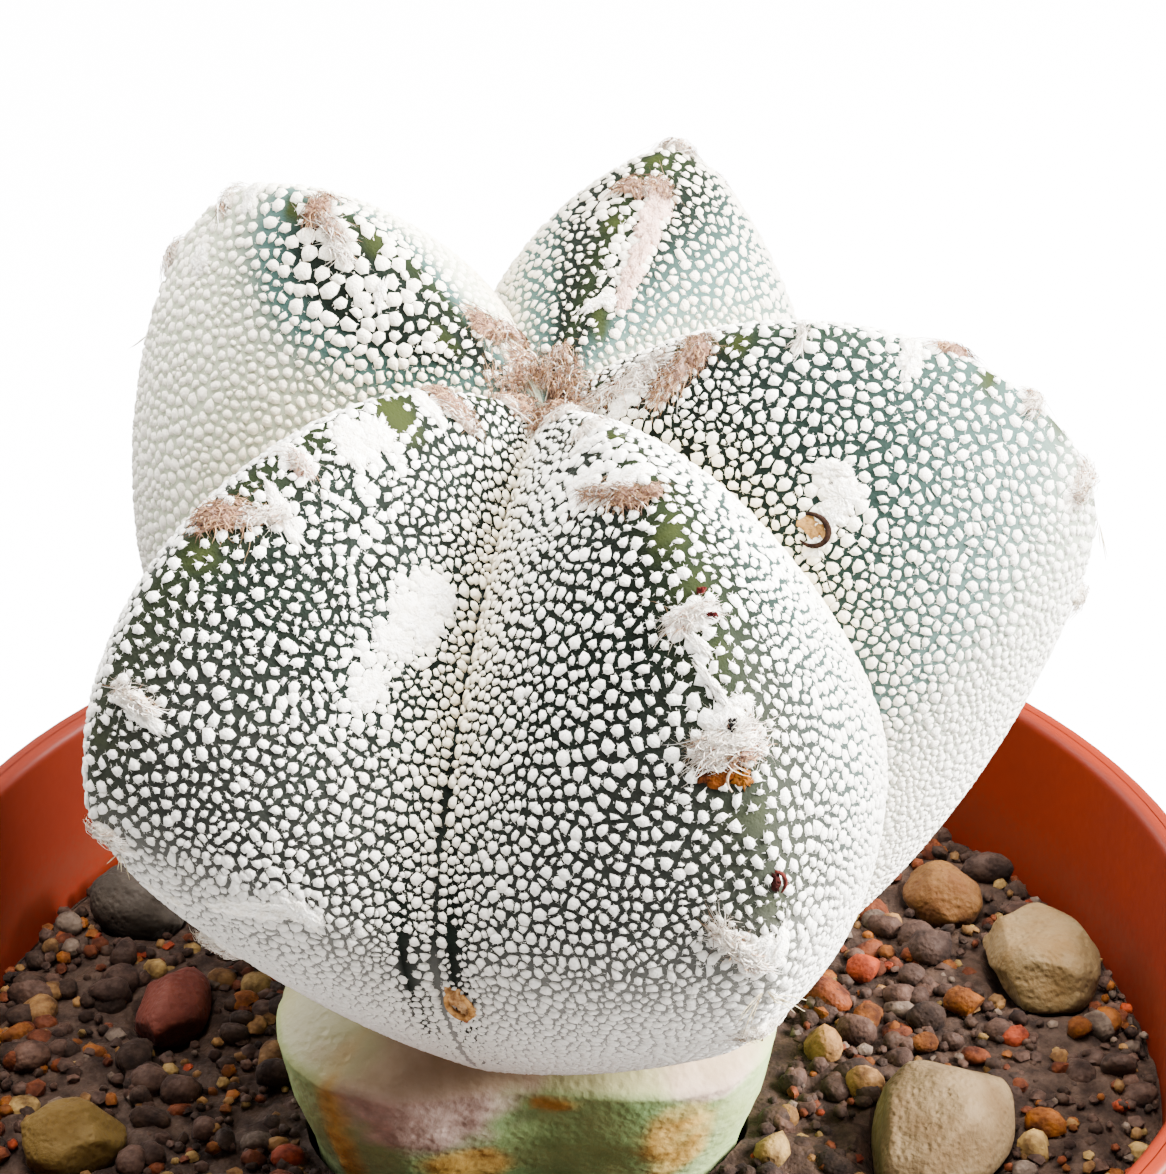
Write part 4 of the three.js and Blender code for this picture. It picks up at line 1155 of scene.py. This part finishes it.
random = np.random.default_rng(60)
patches = []
for tint, kind in (("#f4f0e8", FELT_PATCHES), ("#bd9c8e", PINK_FELT)):
    for *place, half_across, half_down, turn, height in kind:
        size = FELT_NARROWING * half_across, FELT_NARROWING * half_down
        patch = (*place, *size, turn, FELT_LOWERING * height)
        hairs = int(FELT_HAIRS_PER_MM * (half_across + half_down))
        patches.append((*felt_patch(random, patch, hairs=hairs), linear(tint)))
felt = Finish("white felt", "#ffffff", "#dcd5c8", 3000, 1.0, FELT_ROUGH, 6500, 0.09, 31.0).tinted()
tinted_piece("felt_patches", patches, felt, "scion_skin")

# The areoles: cushions of wool on the crests, from which a cactus would grow its spines. The
# young ones are a tangle of pinkish-brown hairs, and age to grey and white. The wool grows from a
# low mound of felt, and lies over the skin beside it.
STRANDS_PER_SQUARE_MM = 170
STRAND_WIDTH = 0.03
# Along each hair: how far on, and how thick it is there.
STRAND_STEPS = [(0.0, 0.8), (0.33, 1.0), (0.68, 0.8), (1.0, 0.15)]
WOOL_PINK = np.array([linear(c) for c in ("#8a6243", "#5d3c27", "#a4815b", "#472b1a", "#946f4c")])
WOOL_WHITE = np.array([linear(c) for c in ("#ece6da", "#d8d0c4", "#f4f0e8", "#b8aca0", "#e2dacc")])
# Each tuft: rib, share, side, width, length, turn in degrees, and how pink it is, where 1 is
# pinkish brown and 0 is white. Some areoles carry two or three tufts.
TUFTS = [
    (0, 0.050, 0.10, 1.3, 0.7, 0, 0.5),
    (0, 0.131, 0.20, 2.2, 1.1, -20, 1.0),
    (0, 0.134, 0.36, 1.9, 0.8, -20, 0.6),
    (0, 0.301, 0.10, 1.2, 0.6, 0, 0.5),
    (0, 0.364, 0.04, 2.1, 1.4, -53, 1.0),
    (0, 0.346, 0.15, 2.0, 0.9, -53, 0.35),
    (0, 0.504, 0.10, 1.8, 0.7, 0, 0.15),
    (0, 0.640, 0.05, 1.6, 0.9, 0, 0.15),
    (0, 0.770, 0.08, 1.6, 0.9, 0, 0.1),
    (1, 0.070, 0.00, 1.6, 0.9, 0, 0.4),
    (1, 0.170, -0.08, 1.4, 0.6, 0, 0.15),
    (1, 0.272, -0.21, 2.8, 0.75, 48, 0.75),
    (1, 0.290, -0.11, 1.5, 1.2, 48, 1.0),
    (1, 0.297, -0.02, 0.9, 0.8, 0, 1.0),
    (1, 0.394, -0.05, 1.9, 0.9, 0, 0.2),
    (1, 0.476, -0.05, 2.6, 1.6, 0, 0.15),
    (1, 0.486, -0.02, 1.3, 0.6, 0, 1.0),
    (1, 0.605, -0.10, 3.2, 0.9, 57, 0.15),
    (1, 0.740, 0.00, 1.6, 0.9, 0, 0.1),
    (2, 0.092, -0.37, 4.4, 0.9, 40, 0.3),
    (2, 0.149, -0.27, 3.6, 1.1, 19, 0.9),
    (2, 0.161, -0.10, 1.5, 1.2, 0, 1.0),
    (2, 0.260, -0.08, 1.2, 0.5, 0, 0.1),
    (2, 0.384, 0.05, 1.6, 0.8, 80, 1.0),
    (2, 0.465, 0.00, 1.6, 0.9, 0, 0.3),
    (2, 0.558, -0.06, 2.4, 1.1, 0, 0.35),
    (2, 0.690, 0.00, 1.6, 0.9, 0, 0.1),
    (3, 0.046, 0.12, 1.1, 0.7, 0, 0.8),
    (3, 0.200, 0.00, 1.3, 1.1, 0, 0.95),
    (3, 0.220, -0.14, 1.3, 1.1, 0, 0.95),
    (3, 0.320, 0.00, 1.6, 0.9, 0, 0.4),
    (3, 0.440, 0.00, 2.0, 1.1, 0, 0.4),
    (3, 0.570, 0.00, 1.8, 1.0, 0, 0.2),
    (3, 0.700, 0.00, 1.6, 0.9, 0, 0.1),
    (4, 0.071, -0.30, 1.9, 1.5, 0, 1.0),
    (4, 0.082, -0.62, 2.8, 0.9, -38, 0.85),
    (4, 0.045, -0.45, 2.1, 0.8, 76, 0.8),
    (4, 0.213, 0.06, 1.6, 1.1, 0, 1.0),
    (4, 0.200, 0.13, 2.2, 0.8, -45, 0.7),
    (4, 0.189, 0.24, 1.4, 0.7, -45, 0.15),
    (4, 0.320, 0.05, 1.4, 0.7, 0, 0.2),
    (4, 0.420, 0.00, 2.0, 1.1, 0, 0.4),
    (4, 0.560, 0.00, 1.8, 1.0, 0, 0.2),
    (4, 0.700, 0.00, 1.6, 0.9, 0, 0.1),
]


def strands(random, tuft, count, longest, height):
    """Hairs of a tuft, each a narrow ribbon that rises, bends over and tapers."""
    width, length, turn, pink = tuft[3:]
    x = random.uniform(-0.5, 0.5, count) * width
    y = random.normal(size=count).clip(-1.6, 1.6) * length * 0.28
    outwards = np.where(x + 0.4 * random.normal(size=count) < 0, math.pi, 0)
    heading = random.normal(size=count) * 1.2 + outwards
    cos, sin = np.cos(heading), np.sin(heading)
    reach = longest * random.uniform(0.3, 1.0, count) * np.where(random.uniform(size=count) < 0.06, 2, 1)
    bend = random.normal(size=count) * 0.8 * reach
    rise = random.uniform(0.1, 1.0, count) * height
    crown = height * np.sqrt(np.clip(1 - (2 * x / width) ** 2, 0, 1)) * random.uniform(0.2, 1, count)
    edges = []
    for step, thick in STRAND_STEPS:
        along, aside = reach * step, bend * step**2
        middle_x, middle_y = x + along * cos - aside * sin, y + (along * sin + aside * cos) * 0.7
        level = crown * (1 - step) + rise * 4 * step * (1 - step) * 0.6 + 0.12
        for edge in (-0.5, 0.5):
            shift = edge * STRAND_WIDTH * thick
            flat = spun(middle_x - shift * sin, middle_y + shift * cos, turn)
            edges.append((*flat, level + shift * 0.8))
    points = laid_on_skin(tuft[:3], *[np.stack(values, 1).ravel() for values in zip(*edges)])
    faces = [face for a in (0, 2, 4) for face in ((a, a + 1, a + 3), (a, a + 3, a + 2))]
    is_pink = random.uniform(size=count)[:, None] < pink
    pinks, whites = WOOL_PINK[random.integers(5, size=count)], WOOL_WHITE[random.integers(5, size=count)]
    tint = np.where(is_pink, pinks, whites)
    tint[:, :3] *= random.uniform(0.85, 1.15, (count, 1))
    return points, copied(faces, count, len(edges)), np.repeat(np.clip(tint, 0, 1), len(edges), 0)


random = np.random.default_rng(61)
mounds, hairs = [], []
for tuft in TUFTS:
    *place, width, length, turn, pink = tuft
    young = min(1.0, 0.55 + place[1] * 2.2)
    patch = (*place, width * 0.46, length * 0.46, turn, 0.34 * young)
    base = [p * pink + w * (1 - pink) for p, w in zip(linear("#8a6552"), linear("#e6dfd2"))]
    mounds.append((*felt_patch(random, patch, 6, 26), base))
    count = int(STRANDS_PER_SQUARE_MM * width * length)
    hairs.append(strands(random, tuft, count, 0.55 + 0.15 * width, 0.45 * young))
for rib in range(len(RIBS)):
    for share, side, width in ((0.03, 0.0, 1.8), (0.045, -0.6, 1.2), (0.045, 0.6, 1.2)):
        hairs.append(strands(random, (rib, share, side, width, 1.6, 0, 0.9), 190, 0.9, 0.5))
tinted_piece("areole_felt", mounds, felt, "scion_skin")
wool = Finish("areole wool", "#ffffff", "#c8beb4", 2200, 1.0, FELT_ROUGH, 9000, 0.02, 32.0).tinted()
tinted_piece("areole_wool", hairs, wool, "scion_skin")

# The scars: corky and rust-brown marks on the skin, a near-black disc in the felt of one areole that is
# painted shade of a pore there, and the dried curls and fine pale spines that are left at old areoles.
SPINE_THICKNESS = 0.028
TUBE_SIDES = 6
# Each mark: rib, share, side, half-width across, half-length down, turn, height and colour.
MARKS = [
    (1, 0.492, -0.085, 0.95, 0.5, 8, 0.1, "#653206"),
    (1, 0.499, -0.03, 0.4, 0.55, 0, 0.12, "#75450e"),
    (1, 0.488, -0.13, 0.5, 0.35, 10, 0.14, "#4a2205"),
    # A near-black disc on the areole's felt: painted shade of a pore.
    (1, 0.4665, -0.025, 0.27, 0.36, 0, 0.42, "#0c0a08"),
    (1, 0.399, 0.0, 0.26, 0.16, 20, 0.34, "#3c0c0a"),
    (1, 0.381, 0.0, 0.14, 0.12, 0, 0.3, "#48100e"),
    (1, 0.567, 0.01, 0.16, 0.5, 12, 0.2, "#2e0c08"),
    (2, 0.348, -0.86, 0.62, 0.78, 10, 0.14, "#a47c46"),
    (1, 0.672, -0.94, 0.55, 0.8, 0, 0.2, "#b98a58"),
    (1, 0.682, -0.91, 0.5, 0.5, 30, 0.24, "#c69c6c"),
    (1, 0.694, -0.93, 0.2, 0.6, 0, 0.16, "#8c5038"),
    (3, 0.470, 0.3, 0.7, 0.5, 30, 0.12, "#6a4420"),
    (4, 0.600, -0.3, 0.8, 0.5, -20, 0.12, "#5c3a1c"),
]
# Each curl: rib, share, side, radius, start and end of its arc in degrees, thickness and colour.
CURLS = [
    (2, 0.347, -0.87, 0.70, -50, 190, 0.15, "#1e0e04"),
    (1, 0.676, -0.93, 0.62, -60, 250, 0.18, "#b08048"),
    (1, 0.500, -0.04, 0.5, 150, 330, 0.06, "#b09880"),
    (1, 0.567, 0.0, 0.5, -70, 60, 0.1, "#3c120c"),
]
# Each bunch of fine spines: rib, share, side, how many and how long they are.
SPINES = [(1, 0.668, -0.03, 9, 1.7), (0, 0.668, 0.06, 4, 1.0), (2, 0.63, 0.0, 5, 1.2), (4, 0.5, 0.0, 5, 1.2)]


def tube_on_skin(place, across, down, up, thickness):
    """A thin tapering tube along a path that is given in distances on and above the skin."""
    turn = around(TUBE_SIDES)
    ahead = np.stack([np.gradient(across), np.gradient(down)])
    ahead /= np.linalg.norm(ahead, axis=0) + 1e-9
    width = thickness * np.sin(np.linspace(0.35, math.pi - 0.12, len(across))) ** 0.6
    out, rise = width[:, None] * np.cos(turn), width[:, None] * np.sin(turn)
    flat = across[:, None] - ahead[1][:, None] * out, down[:, None] + ahead[0][:, None] * out
    points = laid_on_skin(place, *[values.ravel() for values in (*flat, up[:, None] + rise)])
    ends = points[:TUBE_SIDES].mean(0), points[-TUBE_SIDES:].mean(0)
    return closed_rings(points.reshape(-1, TUBE_SIDES, 3), *ends)


random = np.random.default_rng(62)
marks = [(*felt_patch(random, mark, 5, 24, 0.4, 0.5), linear(mark[7])) for mark in MARKS]
for *place, radius, start, end, thickness, colour in CURLS:
    arc = np.radians(np.linspace(start, end, 16))
    level = 0.14 + thickness * 0.5 + 0.12 * np.sin(np.linspace(0, math.pi, 16))
    path = radius * np.cos(arc), radius * 1.2 * np.sin(arc), level
    marks.append((*tube_on_skin(place, *path, thickness), linear(colour)))
for *place, count, longest in SPINES:
    for _ in range(count):
        heading, reach = random.uniform(0.2, math.pi - 0.2), longest * random.uniform(0.6, 1)
        step = np.linspace(0, 1, 6)
        level = 0.2 + reach * (0.5 * step + 0.25 * random.uniform() * step**2)
        across = 0.2 * math.cos(heading) + reach * step * math.cos(heading)
        spine = tube_on_skin(place, across, reach * step * math.sin(heading), level, SPINE_THICKNESS)
        marks.append((*spine, linear("#cbbf9c")))
cork = Finish("scar cork", "#ffffff", "#8c7c70", 2600, 1.0, FELT_ROUGH, 4200, 0.08, 33.0, 0.08).tinted()
tinted_piece("scars_and_spines", marks, cork, "scion_skin")

# The floor, the light and the camera: a white table in soft white light, with a strong light from
# the right, one from above and a weak one from behind on the left. The camera stands in front and
# looks down.
FLOOR_HALF = 3000
FLOOR_GLOW = 12.0
ROOM_LIGHT = 0.68
LIT_PLACE = (0, 0, 0.08)
# Each light: its place and its size in metres, and its power in watts.
LIGHTS = {
    "key light": ((0.5, -0.02, 0.37), 0.3, 62.0),
    "top light": ((0.03, 0.02, 0.6), 0.4, 20.0),
    "fill light": ((-0.42, 0.36, 0.34), 0.4, 8.0),
}
# The camera's rise above the growing point in degrees, its distance from there in millimetres,
# and its own lens, pitch below level and turn.
CAMERA_RISE = 28
CAMERA_DISTANCE = 192
CAMERA_LENS = 122.66
CAMERA_PITCH = 30.506
CAMERA_TURN = -0.616

white = Finish("floor white", "#9a9a9a", "#949494", 5, 0.2, (0.8, 0.9), 50, 0.01, 40.0)
seen = white.place("LightPath", {})["Is Camera Ray"]
white.feed(white.sockets["Emission Strength"], white.sums("MULTIPLY", seen, FLOOR_GLOW))
white.feed(white.sockets["Emission Color"], "#ffffff")
half = FLOOR_HALF * MM
mesh = bpy.data.meshes.new("floor")
mesh.from_pydata([(-half, -half, 0), (half, -half, 0), (half, half, 0), (-half, half, 0)], [], [(0, 1, 2, 3)])
mesh.materials.append(white.material)
add_object("floor", mesh)
world = bpy.data.worlds.new("white room")
world.use_nodes = True
room = world.node_tree.nodes["Background"].inputs
room["Color"].default_value = (1, 1, 1, 1)
room["Strength"].default_value = ROOM_LIGHT
bpy.context.scene.world = world
for name, (place, size, power) in LIGHTS.items():
    lamp = bpy.data.lights.new(name, "AREA")
    lamp.size = size
    lamp.energy = power
    light = add_object(name, lamp)
    light.location = place
    aim = Vector(LIT_PLACE) - light.location
    light.rotation_euler = aim.to_track_quat("-Z", "Y").to_euler()
rise = math.radians(CAMERA_RISE)
eye = bpy.data.cameras.new("camera")
eye.lens = CAMERA_LENS
eye.sensor_width = 36
eye.clip_start = 0.01
eye.clip_end = 10
camera = add_object("camera", eye)
away = np.array([0, -math.cos(rise), math.sin(rise)]) * CAMERA_DISTANCE
camera.location = Vector((GROWING_POINT + away) * MM)
camera.rotation_euler = (math.radians(90 - CAMERA_PITCH), 0, math.radians(CAMERA_TURN))
bpy.context.scene.camera = camera
